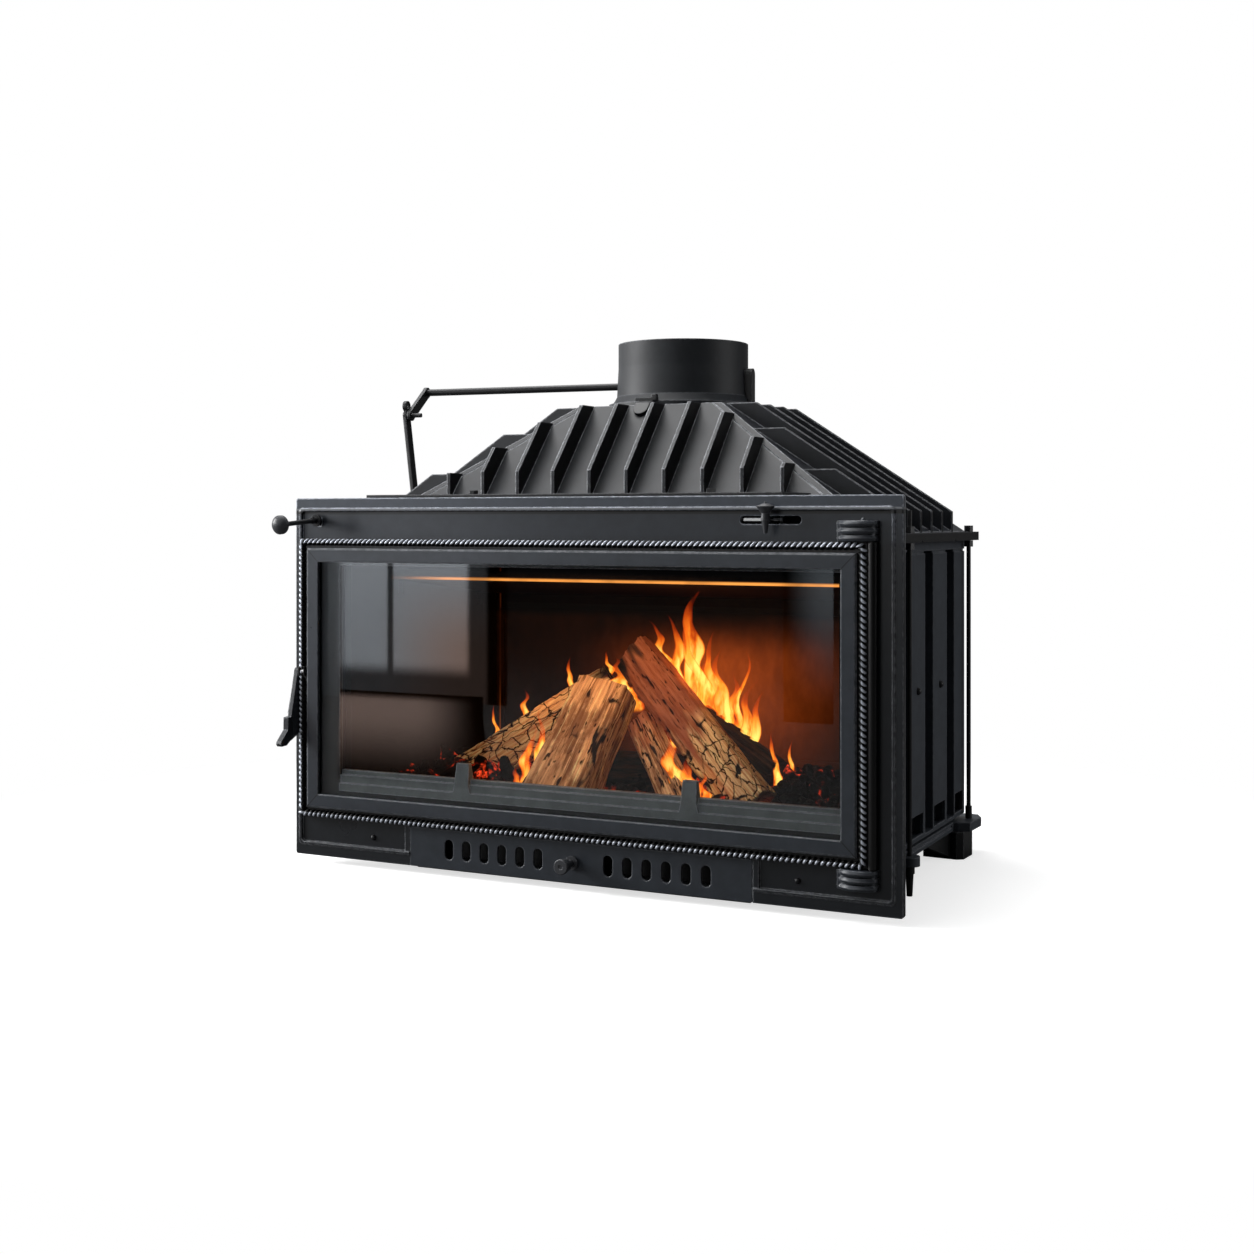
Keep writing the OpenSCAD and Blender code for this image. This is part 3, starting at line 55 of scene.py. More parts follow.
MM = 0.001
FRAME_LOW, FRAME_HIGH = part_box("front_frame")
FRAME_THICK = 8
FACE_Y = FRAME_HIGH.y - FRAME_THICK * MM
FOOT_GAP = FRAME_LOW.z
BAFFLE_Z = 346.0
BEAD_LOW, BEAD_HIGH = 434, 437
INNER_FRAME = ((-373.5, 61.5), (347.5, 387.5))
MITRE_WIDTH = 0.7 * MM
# Height above which the linings darken with soot and painted shade under the baffle
SOOT_AND_SHADE_LINE = 292
# Places of painted firelight: a line up the back corner, a pool round a spot on the fireback, and a span of
# the baffle's lip
BACK_CORNER = (-314.5, 110)
FIRELIGHT_SPOT = (25, 205)
LIP_GLOW = (-325, -185)
BED = ((-300, 300), (60, 320))
BED_Z = 85
HEAPS = ((-262, 46, 20), (232, 44, 30))
HEAP_Y, HEAP_DEPTH = 190, 60
ROPE_INSET, ROPE_OUT = 4.5, 6.0
PANES_Y = -1405
PATCH_NEAR_Y = -560
# Near-black for soot and for painted shade
SHADE_AND_SOOT = (0.004, 0.004, 0.0045)
UNLIT = (0, 0, 0)


def at(x, y, z):
    """A point given in millimetres from the middle, the face and the foot of the front frame."""
    return Vector((x * MM, FACE_Y + y * MM, FOOT_GAP + z * MM))


def flat(x, z):
    """X and Z of a point given in millimetres."""
    place = at(x, 0, z)
    return place.x, place.z


PHOTO_SIDE = 1254
SENSOR = 36


def seen(px, py, depth):
    """X, Z and the size of a dot, all in millimetres, of what the photograph shows at a place and depth."""
    camera = bpy.context.scene.insert_studio
    focus = camera.lens / SENSOR * PHOTO_SIDE
    across = (px - PHOTO_SIDE / 2) / focus
    up = (PHOTO_SIDE * (0.5 + camera.drop) - py) / focus
    sine, cosine = math.sin(camera.turn), math.cos(camera.turn)
    eye = Vector(camera.eye) / MM
    away = (depth - eye.y) / (cosine + across * sine)
    return eye.x + away * (across * cosine - sine), eye.z + away * up, away / focus


# Settings

class InsertCastSettings(bpy.types.PropertyGroup):
    paint: bpy.props.FloatVectorProperty(
        name="Stove paint", description="Colour of the painted castings",
        default=(0.029, 0.034, 0.042), subtype="COLOR", min=0, max=1)
    hood: bpy.props.FloatVectorProperty(
        name="Hood casting", description="Colour of the hood's castings",
        default=(0.0085, 0.0100, 0.0132), subtype="COLOR", min=0, max=1)
    black: bpy.props.FloatVectorProperty(
        name="Black casting", description="Colour of the blackest castings",
        default=(0.005, 0.0053, 0.006), subtype="COLOR", min=0, max=1)
    steel: bpy.props.FloatVectorProperty(
        name="Bright steel", description="Colour of bare steel",
        default=(0.86, 0.87, 0.88), subtype="COLOR", min=0, max=1)
    # The worn-edge colour is both rubbed paint and a painted highlight along the edges
    worn_and_highlit: bpy.props.FloatVectorProperty(
        name="Worn edge", description="Colour of paint rubbed thin on an edge",
        default=(0.52, 0.54, 0.58), subtype="COLOR", min=0, max=1)
    edge_radius: bpy.props.FloatProperty(
        name="Edge radius", description="Rounding of the castings' edges as the light sees it",
        default=0.0025, min=0.0002, max=0.004, unit="LENGTH")
    grain_size: bpy.props.FloatProperty(
        name="Sand grain", description="Size of the sand-cast grain",
        default=0.0011, min=0.0004, max=0.004, unit="LENGTH")


class InsertRopeSettings(bpy.types.PropertyGroup):
    pitch: bpy.props.FloatProperty(
        name="Strand pitch", description="Distance from one strand of the moulding to the next",
        default=0.0068, min=0.004, max=0.012, unit="LENGTH")
    radius: bpy.props.FloatProperty(
        name="Rope radius", description="Radius of the rope moulding",
        default=0.0043, min=0.002, max=0.006, unit="LENGTH")
    lean: bpy.props.FloatProperty(
        name="Strand lean", description="Angle of a strand across the moulding",
        default=math.radians(42), min=0, max=math.radians(80), subtype="ANGLE")


class InsertFireSettings(bpy.types.PropertyGroup):
    flame_light: bpy.props.FloatProperty(
        name="Flame strength", description="How brightly the flames shine", default=9.0, min=0, max=50)
    ember_light: bpy.props.FloatProperty(
        name="Ember strength", description="How brightly the embers shine", default=2.0, min=0, max=30)
    wood: bpy.props.FloatVectorProperty(
        name="Split wood", description="Colour of the split faces of the logs",
        default=(0.68, 0.37, 0.195), subtype="COLOR", min=0, max=1)
    fire_power: bpy.props.FloatProperty(
        name="Fire light", description="Power of the lamps that stand in for the fire",
        default=0.46, min=0, max=60, unit="POWER")
    seed: bpy.props.IntProperty(
        name="Seed", description="Start of everything random in the fire", default=4, min=0)


class InsertStudioSettings(bpy.types.PropertyGroup):
    eye: bpy.props.FloatVectorProperty(
        name="Camera", description="Place of the camera in the case's own measure",
        default=(0.9006, -1.6976, 0.4234), subtype="TRANSLATION", unit="LENGTH")
    turn: bpy.props.FloatProperty(
        name="Camera turn", description="Angle of the camera round the upright axis",
        default=math.radians(26.05), subtype="ANGLE")
    lens: bpy.props.FloatProperty(
        name="Lens", description="Focal length on a 36 mm frame", default=47.37, min=20, max=200)
    drop: bpy.props.FloatProperty(
        name="Lens shift", description="Upright shift of the lens", default=-0.0858, min=-0.3, max=0.3)
    key_power: bpy.props.FloatProperty(
        name="Top light", description="Power of the soft light over the object",
        default=60.0, min=0, max=500, unit="POWER")
    fill_power: bpy.props.FloatProperty(
        name="Front light", description="Power of the soft light in front",
        default=5.0, min=0, max=500, unit="POWER")
    left_power: bpy.props.FloatProperty(
        name="Left light", description="Power of the soft light on the left",
        default=70.0, min=0, max=500, unit="POWER")
    right_power: bpy.props.FloatProperty(
        name="Right light", description="Power of the soft light on the right",
        default=16.0, min=0, max=500, unit="POWER")
    pane_glow: bpy.props.FloatProperty(
        name="Pane glow", description="Brightness of the soft panes that the glass reflects",
        default=2.6, min=0, max=20)


SETTINGS = {
    "insert_cast": InsertCastSettings,
    "insert_rope": InsertRopeSettings,
    "insert_fire": InsertFireSettings,
    "insert_studio": InsertStudioSettings,
}


# Node helpers

def new_group(name, inputs, outputs):
    """A shader node group with typed, named sockets; returns it with its input and output nodes."""
    group = bpy.data.node_groups.new(name, "ShaderNodeTree")
    for label, kind, default in inputs:
        socket = group.interface.new_socket(name=label, in_out="INPUT", socket_type=kind)
        if default is not None:
            socket.default_value = default
    for label, kind in outputs:
        group.interface.new_socket(name=label, in_out="OUTPUT", socket_type=kind)
    return group, group.nodes.new("NodeGroupInput"), group.nodes.new("NodeGroupOutput")


def feed(socket, value):
    """Links another socket to this one, or sets its value."""
    if isinstance(value, bpy.types.NodeSocket):
        socket.id_data.links.new(value, socket)
    else:
        socket.default_value = value


def node(tree, kind, links=None, **values):
    """Adds a node, sets its properties and socket defaults, and links the given sockets."""
    made = tree.nodes.new(kind)
    for key, value in values.items():
        if hasattr(made, key) and key not in made.inputs:
            setattr(made, key, value)
        else:
            feed(made.inputs[key], value)
    for key, source in (links or {}).items():
        feed(made.inputs[key], source)
    return made


def math_node(tree, operation, a, b=None):
    made = tree.nodes.new("ShaderNodeMath")
    made.operation = operation
    for i, value in enumerate((a, b)):
        if value is not None:
            feed(made.inputs[i], value)
    return made.outputs[0]


def plus(tree, a, b):
    return math_node(tree, "ADD", a, b)


def minus(tree, a, b):
    return math_node(tree, "SUBTRACT", a, b)


def times(tree, a, b):
    return math_node(tree, "MULTIPLY", a, b)


def away_from(tree, value, middle):
    """How far a value lies from a middle, on either side."""
    return math_node(tree, "ABSOLUTE", minus(tree, value, middle))


def to_ends(tree, value, low, high):
    """How far a value lies inside a span, from the nearer end."""
    return math_node(tree, "MINIMUM", minus(tree, value, low), minus(tree, high, value))


def object_coords(tree):
    return tree.nodes.new("ShaderNodeTexCoord").outputs["Object"]


def axes(tree, vector):
    """The X, Y and Z of a vector."""
    return node(tree, "ShaderNodeSeparateXYZ", {0: vector}).outputs


def put(made, **values):
    """Sets or links a node's sockets; an underscore stands for a space in the socket's name."""
    for key, value in values.items():
        feed(made.inputs[key.replace("_", " ")], value)


def relief(tree, shader, height, strength, distance):
    """Gives a shader a relief from a height."""
    bump = node(tree, "ShaderNodeBump", {"Height": height}, Strength=strength, Distance=distance)
    put(shader, Normal=bump.outputs[0])


def mix_color(tree, factor, a, b, blend="MIX"):
    made = tree.nodes.new("ShaderNodeMix")
    made.data_type = "RGBA"
    made.blend_type = blend
    for i, value in ((0, factor), (6, a), (7, b)):
        plain = isinstance(value, (int, float, bpy.types.NodeSocket))
        feed(made.inputs[i], value if plain else (*tuple(value)[:3], 1))
    return made.outputs[2]


def tinted(tree, tone, tint):
    """A tone multiplied by another colour."""
    return mix_color(tree, 1.0, tone, tint, "MULTIPLY")


def scaled(color, share):
    return tuple(c * share for c in color)


def lightened(color, share):
    return tuple(min(1.0, c * share) for c in color)


def ramp(tree, value, low, high, out_low=0.0, out_high=1.0):
    """Maps a value smoothly from one span to another."""
    made = tree.nodes.new("ShaderNodeMapRange")
    made.interpolation_type = "SMOOTHSTEP"
    for key, number in (("From Min", low), ("From Max", high), ("To Min", out_low), ("To Max", out_high)):
        made.inputs[key].default_value = number
    tree.links.new(value, made.inputs["Value"])
    return made.outputs["Result"]


def noise_node(tree, vector, scale, detail=4.0, rough=0.5, stretch=None):
    if stretch:
        mapping = node(tree, "ShaderNodeMapping", {"Vector": vector})
        mapping.inputs["Scale"].default_value = stretch
        vector = mapping.outputs[0]
    made = node(tree, "ShaderNodeTexNoise", {"Vector": vector}, Scale=scale, Detail=detail, Roughness=rough)
    return made.outputs["Fac"]


# Shared effects

def cast_grain_group():
    """Sand-cast paint: uneven colour, fine grain and pale specks."""
    group, given, out = new_group("Cast grain", [
        ("Color", "NodeSocketColor", (0.05, 0.05, 0.05, 1)), ("Vector", "NodeSocketVector", None),
        ("Grain per metre", "NodeSocketFloat", 900.0), ("Patch", "NodeSocketFloat", 0.25),
        ("Rough low", "NodeSocketFloat", 0.42), ("Rough high", "NodeSocketFloat", 0.62),
    ], [("Color", "NodeSocketColor"), ("Roughness", "NodeSocketFloat"), ("Height", "NodeSocketFloat")])
    vector = given.outputs["Vector"]
    fine = node(group, "ShaderNodeTexNoise", {"Vector": vector, "Scale": given.outputs["Grain per metre"]},
                Detail=3.0, Roughness=0.6).outputs["Fac"]
    coarse = noise_node(group, vector, 55.0, 4.0, 0.6)
    patch = noise_node(group, vector, 9.0, 3.0, 0.55)
    light = tinted(group, given.outputs["Color"], (1.35, 1.35, 1.35))
    dark = tinted(group, given.outputs["Color"], (0.72, 0.72, 0.73))
    tone = mix_color(group, ramp(group, coarse, 0.3, 0.7), dark, light)
    smooth = mix_color(group, given.outputs["Patch"], given.outputs["Color"], tone)
    spot = ramp(group, fine, 0.62, 0.75, 0.0, 0.22)
    put(out, Color=mix_color(group, spot, smooth, light))
    span = group.nodes.new("ShaderNodeMapRange")
    group.links.new(patch, span.inputs["Value"])
    group.links.new(given.outputs["Rough low"], span.inputs["To Min"])
    group.links.new(given.outputs["Rough high"], span.inputs["To Max"])
    put(out, Roughness=span.outputs["Result"])
    height = plus(group, times(group, fine, 0.7), times(group, coarse, 0.5))
    put(out, Height=height)
    return group


def edge_wear_and_highlight_group():
    """A mask of rubbed edges, which also carry a painted highlight, from the rounded normal against the true
    one.
    """
    group, given, out = new_group("Edge wear", [
        ("Rounded", "NodeSocketVector", None), ("True", "NodeSocketVector", None),
        ("Vector", "NodeSocketVector", None), ("Amount", "NodeSocketFloat", 0.6),
    ], [("Mask", "NodeSocketFloat")])
    dot = node(group, "ShaderNodeVectorMath",
               {0: given.outputs["Rounded"], 1: given.outputs["True"]}, operation="DOT_PRODUCT")
    edge = ramp(group, dot.outputs["Value"], 0.995, 0.93)
    broken = ramp(group, noise_node(group, given.outputs["Vector"], 160.0, 4.0, 0.65), 0.36, 0.62)
    worn_and_highlit = times(group, edge, plus(group, times(group, broken, 0.6), 0.4))
    put(out, Mask=times(group, worn_and_highlit, given.outputs["Amount"]))
    return group


GROUPS = {}


def shared(name, builder):
    """A shader group that is built once and then reused."""
    if name not in GROUPS:
        GROUPS[name] = builder()
    return GROUPS[name]


def new_material(name):
    material = bpy.data.materials.new(name)
    material.use_nodes = True
    tree = material.node_tree
    return material, tree, tree.nodes["Principled BSDF"]


def use_group(tree, group, links=None, **values):
    made = tree.nodes.new("ShaderNodeGroup")
    made.node_tree = group
    put(made, **values)
    put(made, **(links or {}))
    return made


def cast_material(name, color, rough=(0.42, 0.62), patch=0.3, wear_and_highlight=0.5, bump=0.12, metal=0.0,
                  grain=None, radius=None, extra=None, shine=0.35):
    """Painted or bare cast metal with grain, rounded edges and rubbed corners, whose pale colour is also a
    painted edge highlight.
    """
    look = bpy.context.scene.insert_cast
    material, tree, shader = new_material(name)
    coords = object_coords(tree)
    bevel = node(tree, "ShaderNodeBevel", Radius=radius or look.edge_radius)
    bevel.samples = 4
    true = tree.nodes.new("ShaderNodeNewGeometry").outputs["Normal"]
    surface = use_group(tree, shared("grain", cast_grain_group), {"Vector": coords}, Color=(*color, 1),
                        Grain_per_metre=1 / (grain or look.grain_size), Patch=patch,
                        Rough_low=rough[0], Rough_high=rough[1])
    worn_and_highlit = use_group(tree, shared("wear_and_highlight", edge_wear_and_highlight_group),
                     {"Rounded": bevel.outputs[0], "True": true, "Vector": coords}, Amount=wear_and_highlight)
    # Edges take the worn colour: wear and a painted highlight both
    tone = mix_color(tree, worn_and_highlit.outputs["Mask"], surface.outputs["Color"], look.worn_and_highlit)
    if extra:
        tone = extra(tree, coords, tone)
    put(shader, Base_Color=tone, Roughness=surface.outputs["Roughness"])
    raised = node(tree, "ShaderNodeBump", {"Height": surface.outputs["Height"], "Normal": bevel.outputs[0]},
                  Strength=bump, Distance=0.0006)
    put(shader, Normal=raised.outputs[0], Metallic=metal, Specular_IOR_Level=shine)
    return material


def lit_top_band(low, high, lift):
    """Painted light that makes the paint paler above a height, as on the band over the bead, with a painted
    highlight on the bead and painted shade under it.
    """
    def paint(tree, coords, tone):
        z = axes(tree, coords)["Z"]
        # Painted light: paler towards the top of the field, and paler again on the band over the bead
        field = ramp(tree, z, low - 0.045, low - 0.025)
        tone = mix_color(tree, field, tone, tinted(tree, tone, (1.6, 1.65, 1.75)))
        tone = mix_color(tree, ramp(tree, z, low, high), tone, tinted(tree, tone, (lift, lift, lift)))
        # Painted highlight along the bead
        off = away_from(tree, z, high - 0.0012)
        tone = mix_color(tree, ramp(tree, off, 0.0014, 0.0007), tone, (0.16, 0.17, 0.185))
        # Painted shade under the bead
        off = away_from(tree, z, low - 0.0022)
        return mix_color(tree, ramp(tree, off, 0.0026, 0.0016), tone, (0.003, 0.003, 0.0035))
    return paint


def bar_shaded_off_band(middle, half):
    """Painted shade on a bar outside a thin band of its height, where it keeps its bright steel."""
    def paint(tree, coords, tone):
        z = axes(tree, coords)["Z"]
        off = away_from(tree, z, middle)
        return mix_color(tree, ramp(tree, off, half, half + 0.0005), tone, SHADE_AND_SOOT)
    return paint


def shaded_flanks(tree, coords, tone):
    """Painted shade on the ribs' upright flanks that face +X."""
    normal = tree.nodes.new("ShaderNodeNewGeometry").outputs["True Normal"]
    x = axes(tree, normal)["X"]
    return mix_color(tree, ramp(tree, x, 0.75, 0.95), tone, tinted(tree, tone, (0.10, 0.10, 0.11)))


def from_edges(tree, coords, x0, x1, z0, z1):
    """How far a point lies inside an oblong, from its sides and from its ends."""
    split = axes(tree, coords)
    return to_ends(tree, split["X"], x0, x1), to_ends(tree, split["Z"], z0, z1)


def strand_shade(x0, x1, z0, z1):
    """Painted shade on the strands towards their grooves and on the side next to the window."""
    def paint(tree, coords, tone):
        groove = node(tree, "ShaderNodeAttribute", attribute_name="groove").outputs["Fac"]
        from_side, from_end = from_edges(tree, coords, x0, x1, z0, z1)
        inner = ramp(tree, math_node(tree, "MINIMUM", from_side, from_end), 0.0001, 0.0015)
        shade = math_node(tree, "MAXIMUM", ramp(tree, groove, 0.46, 0.88), inner)
        return mix_color(tree, shade, tone, (0.0015, 0.0015, 0.0017))
    return paint


def mitre_lines_and_shade(x0, x1, z0, z1, width):
    """Dark mitre lines where the two sides of a frame's corner meet, and painted shade in the channel outside
    the frame.
    """
    def paint(tree, coords, tone):
        from_side, from_end = from_edges(tree, coords, x0, x1, z0, z1)
        off = away_from(tree, from_side, from_end)
        line = ramp(tree, off, width * 1.5, width * 0.5)
        inside = math_node(tree, "GREATER_THAN", from_side, 0.0)
        tone = mix_color(tree, times(tree, line, inside), tone, (0.008, 0.008, 0.009))
        # Painted shade in the channel outside the inner frame, beside the rope
        channel = ramp(tree, math_node(tree, "MINIMUM", from_side, from_end), 0.0, -0.0006)
        return mix_color(tree, channel, tone, (0.002, 0.002, 0.0022))
    return paint


# Mesh helpers

def mesh_object(name, verts, faces, material=None, smooth=True):
    mesh = bpy.data.meshes.new(name)
    mesh.from_pydata([tuple(v) for v in verts], [], faces)
    mesh.update()
    obj = placed_object(name, mesh)
    if material:
        mesh.materials.append(material)
    if smooth:
        mesh.shade_smooth()
    return obj


def placed_object(name, data):
    obj = bpy.data.objects.new(name, data)
    bpy.context.scene.collection.objects.link(obj)
    return obj


def grid_faces(rings, around, closed=True):
    """Quads between rings of equal counts."""
    faces = []
    for i in range(rings - 1):
        for j in range(around if closed else around - 1):
            k = (j + 1) % around
            faces.append((i * around + j, i * around + k, (i + 1) * around + k, (i + 1) * around + j))
    return faces


def outward(obj):
    """Merges doubles and turns every face outwards."""
    work = bmesh.new()
    work.from_mesh(obj.data)
    bmesh.ops.remove_doubles(work, verts=work.verts, dist=1e-6)
    bmesh.ops.recalc_face_normals(work, faces=work.faces)
    work.to_mesh(obj.data)
    work.free()


def paint_node(name, material):
    """Gives a carried-over node its finish."""
    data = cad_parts[name].data
    data.materials.clear()
    data.materials.append(material)


def baked(obj, name):
    """The evaluated mesh as a new plain object; the old one goes."""
    graph = bpy.context.evaluated_depsgraph_get()
    mesh = bpy.data.meshes.new_from_object(obj.evaluated_get(graph), depsgraph=graph)
    made = placed_object(name, mesh)
    bpy.data.objects.remove(obj)
    mesh.name = name
    return made


# Finishes of the carried-over nodes

class INSERT_OT_finish_castings(bpy.types.Operator):
    """Gives every casting and steel piece its finish, some with painted light and shade"""
    bl_idname = "insert.finish_castings"
    bl_label = "Finish Castings"

    def execute(self, context):
        look = context.scene.insert_cast
        paint, hood, black, steel = (tuple(c) for c in (look.paint, look.hood, look.black, look.steel))
        (door_x0, door_z0), (door_x1, door_z1) = (flat(*corner) for corner in INNER_FRAME)
        # The one paint comes in copies: darker on the front frame and collar as painted shade, paler on door,
        # trim and sides as painted light
        front = cast_material("Front casting", scaled(paint, 0.40), (0.24, 0.36), 0.35, 0.5, shine=0.5,
                              # The front frame gets painted light on its upper part, a painted highlight on
                              # the bead and painted shade under it
                              extra=lit_top_band(at(0, 0, BEAD_LOW).z, at(0, 0, BEAD_HIGH).z, 2.1))
        door = cast_material("Door casting", scaled(paint, 1.12), (0.24, 0.36), 0.35, 0.45, shine=0.5,
                             extra=mitre_lines_and_shade(door_x0, door_x1, door_z0, door_z1, MITRE_WIDTH))
        trim = cast_material("Trim casting", scaled(paint, 1.12), (0.24, 0.36), 0.35, 0.25, shine=0.5)
        grip = cast_material("Handle casting", (0.018, 0.020, 0.024), (0.30, 0.44), 0.3, 0.6,
                             radius=0.0015, shine=0.5)
        # The ribs get painted shade on their flanks
        rib = cast_material("Hood casting", hood, (0.36, 0.52), 0.7, 0.85, 0.25,
                            shine=0.32, extra=shaded_flanks)
        side = cast_material("Side casting", scaled(paint, 1.4), (0.45, 0.65), 0.4, 0.3)
        dark = cast_material("Black casting", black, (0.34, 0.5), 0.3, 0.22, shine=0.4)
        fixing = cast_material("Blackened steel", (0.014, 0.0145, 0.016), (0.3, 0.45), 0.3, 0.2, 0.05, 0.2,
                               radius=0.0004)
        bright = cast_material("Bright steel", steel, (0.10, 0.18), 0.1, 0.0, 0.02, 1.0, radius=0.0004)
        low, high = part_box("air_slide")
        # The bar keeps its bright steel only over a thin band; painted shade covers the rest
        bar = cast_material("Bright bar", steel, (0.10, 0.18), 0.1, 0.0, 0.02, 1.0, radius=0.0004,
                            extra=bar_shaded_off_band((low.z + high.z) / 2 + 0.0005, 0.0013))
        sheet = cast_material("Steel sheet", (0.10, 0.105, 0.11), (0.35, 0.5), 0.3, 0.3, 0.05, 0.5)
        knob = cast_material("Satin knob", (0.042, 0.044, 0.049), (0.36, 0.48), 0.2, 0.4, 0.05, radius=0.0006)
        cord = cast_material("Woven seal", (0.30, 0.29, 0.27), (0.8, 0.95), 0.6, 0.1, 0.6, grain=0.0018)
        # The guard's pale grey is painted light from the fire
        guard = cast_material("Guard casting", (0.150, 0.163, 0.170), (0.34, 0.48), 0.35, 1.0, radius=0.0022)
        collar = cast_material("Collar casting", scaled(paint, 0.42), (0.46, 0.6), 0.4, 0.35, 0.2)
        finishes = {
            front: ["front_frame"],
            guard: ["log_guard"],
            door: ["door_frame"],
            trim: ["hinge_blocks", "drawer_front"],
            grip: ["door_handle"],
            rib: ["hood_front", "hood_rear", "hood_left", "hood_right", "hood_top", "top_ledge"],
            side: ["side_panel_left", "side_panel_right", "back_panel", "base_plate"],
            dark: ["rear_feet", "deck_plate", "collar_clamps", "damper_plate", "damper_crank",
                   "damper_link", "lever_bracket", "slide_rails", "air_valve_plate"],
            fixing: ["front_screws", "side_screws", "front_feet", "tie_rods", "tie_rod_nuts", "deck_bolts",
                     "hinge_pins", "damper_shaft", "control_lever"],
            bright: ["latch_finger"],
            bar: ["air_slide"],
            sheet: ["ash_well", "ash_pan", "glass_clips"],
            knob: ["ball_knob", "air_slide_knob", "air_knob"],
            cord: ["door_seal"],
            collar: ["flue_collar"],
        }
        for material, names in finishes.items():
            for name in names:
                paint_node(name, material)
        return {"FINISHED"}


def lining_material(name, base, glow_edge=None, soot_and_shade_top=None, corner=None, warm=None):
    """Heat-browned iron with soot, darker above a height from soot and painted shade, and painted firelight
    on a front edge, a back corner or round a spot.
    """
    material, tree, shader = new_material(name)
    coords = object_coords(tree)
    split = axes(tree, coords)
    soot = ramp(tree, noise_node(tree, coords, 7.0, 5.0, 0.6), 0.35, 0.7)
    brushed = noise_node(tree, coords, 60.0, 5.0, 0.7, stretch=(1.0, 1.0, 0.5))
    tone = mix_color(tree, soot, base, scaled(base, 0.45))
    tone = mix_color(tree, ramp(tree, brushed, 0.35, 0.7, 0.0, 0.5), tone, scaled(base, 1.5))
    # Darker above a height: soot and painted shade under the baffle
    if soot_and_shade_top:
        drift = times(tree, noise_node(tree, coords, 9.0, 3.0, 0.5), 0.016)
        height = plus(tree, split["Z"], drift)
        tone = mix_color(tree, ramp(tree, height, soot_and_shade_top, soot_and_shade_top + 0.014, 0.0, 0.9), tone, SHADE_AND_SOOT)
    put(shader, Base_Color=tone, Roughness=0.78, Specular_IOR_Level=0.12)
    relief(tree, shader, brushed, 0.35, 0.001)
    # Painted firelight: an orange glow along the baffle's lower front edge, uneven and fading to the left
    if glow_edge:
        edge = ramp(tree, split["Y"], glow_edge[0] + 0.0015, glow_edge[0] - 0.0005)
        low = ramp(tree, split["Z"], glow_edge[1] + 0.0045, glow_edge[1] + 0.002)
        glow = times(tree, edge, low)
        uneven = times(tree, ramp(tree, noise_node(tree, coords, 12.0, 3.0, 0.5), 0.3, 0.62, 0.45, 1.0),
                       ramp(tree, split["X"], *(x * MM for x in LIP_GLOW), 0.02, 1.0))
        color = mix_color(tree, times(tree, glow, uneven), UNLIT, (1.0, 0.36, 0.07))
        put(shader, Emission_Color=color, Emission_Strength=1.6)
    # Painted firelight: a glowing line up the back corner and a pool of light round a spot, below the shaded
    # top
    if corner:
        off = away_from(tree, split["X"], corner[0])
        line = ramp(tree, off, 0.0016, 0.0006)
        length = ramp(tree, split["Z"], corner[1], corner[1] + 0.10, 1.0, 0.12)
        color = mix_color(tree, times(tree, line, length), UNLIT, (0.34, 0.062, 0.008))
        away = node(tree, "ShaderNodeVectorMath", {0: coords}, operation="SUBTRACT")
        away.inputs[1].default_value = (warm[0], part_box("fireback")[0].y, warm[1])
        reach = node(tree, "ShaderNodeVectorMath", {0: away.outputs[0]}, operation="LENGTH").outputs["Value"]
        spread = plus(tree, reach, times(tree, noise_node(tree, coords, 8.0, 3.0, 0.5), 0.06))
        under = ramp(tree, height, soot_and_shade_top + 0.006, soot_and_shade_top - 0.06, 0.0, 1.0)
        halo = times(tree, math_node(tree, "POWER", ramp(tree, spread, 0.30, 0.02), 2.0), under)
        halo = times(tree, halo, ramp(tree, brushed, 0.3, 0.7, 0.75, 1.0))
        color = mix_color(tree, halo, color, (0.42, 0.062, 0.007))
        put(shader, Emission_Color=color, Emission_Strength=1.0)
    return material


class INSERT_OT_finish_firebox(bpy.types.Operator):
    """Gives the linings, fireback, baffle, hearth and grate their burnt finish, painted shade and painted
    firelight
    """
    bl_idname = "insert.finish_firebox"
    bl_label = "Finish Firebox"

    def execute(self, context):
        soot_and_shade_z = at(0, 0, SOOT_AND_SHADE_LINE).z
        lining = lining_material("Burnt lining", (0.009, 0.007, 0.0068), soot_and_shade_top=soot_and_shade_z)
        fireback = lining_material("Burnt fireback", (0.026, 0.011, 0.006), soot_and_shade_top=soot_and_shade_z,
                                   corner=flat(*BACK_CORNER), warm=flat(*FIRELIGHT_SPOT))
        hearth = lining_material("Burnt hearth", (0.07, 0.05, 0.04))
        lip = (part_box("baffle")[0].y, at(0, 0, BAFFLE_Z).z)
        baffle = lining_material("Glowing baffle", (0.010, 0.007, 0.006), lip)
        paint_node("side_linings", lining)
        paint_node("fireback", fireback)
        for name in ("hearth_plate", "grate"):
            paint_node(name, hearth)
        paint_node("baffle", baffle)
        return {"FINISHED"}


class INSERT_OT_glaze_door(bpy.types.Operator):
    """Gives the window its glass, which resists high temperatures"""
    bl_idname = "insert.glaze_door"
    bl_label = "Glaze Door"

    def execute(self, context):
        material, _, shader = new_material("Window glass")
        put(shader, Base_Color=(0.93, 0.95, 0.95, 1), Transmission_Weight=1.0, IOR=1.45,
            Specular_IOR_Level=0.5, Roughness=0.0)
        paint_node("window_glass", material)
        return {"FINISHED"}


# Rope moulding

def geometry_group(name, inputs):
    """A tree of geometry nodes with numbers as inputs; returns it with its input and output nodes."""
    tree = bpy.data.node_groups.new(name, "GeometryNodeTree")
    tree.interface.new_socket(name="Geometry", in_out="INPUT", socket_type="NodeSocketGeometry")
    for label, default in inputs:
        socket = tree.interface.new_socket(name=label, in_out="INPUT", socket_type="NodeSocketFloat")
        socket.default_value = default
    tree.interface.new_socket(name="Geometry", in_out="OUTPUT", socket_type="NodeSocketGeometry")
    return tree, tree.nodes.new("NodeGroupInput"), tree.nodes.new("NodeGroupOutput")


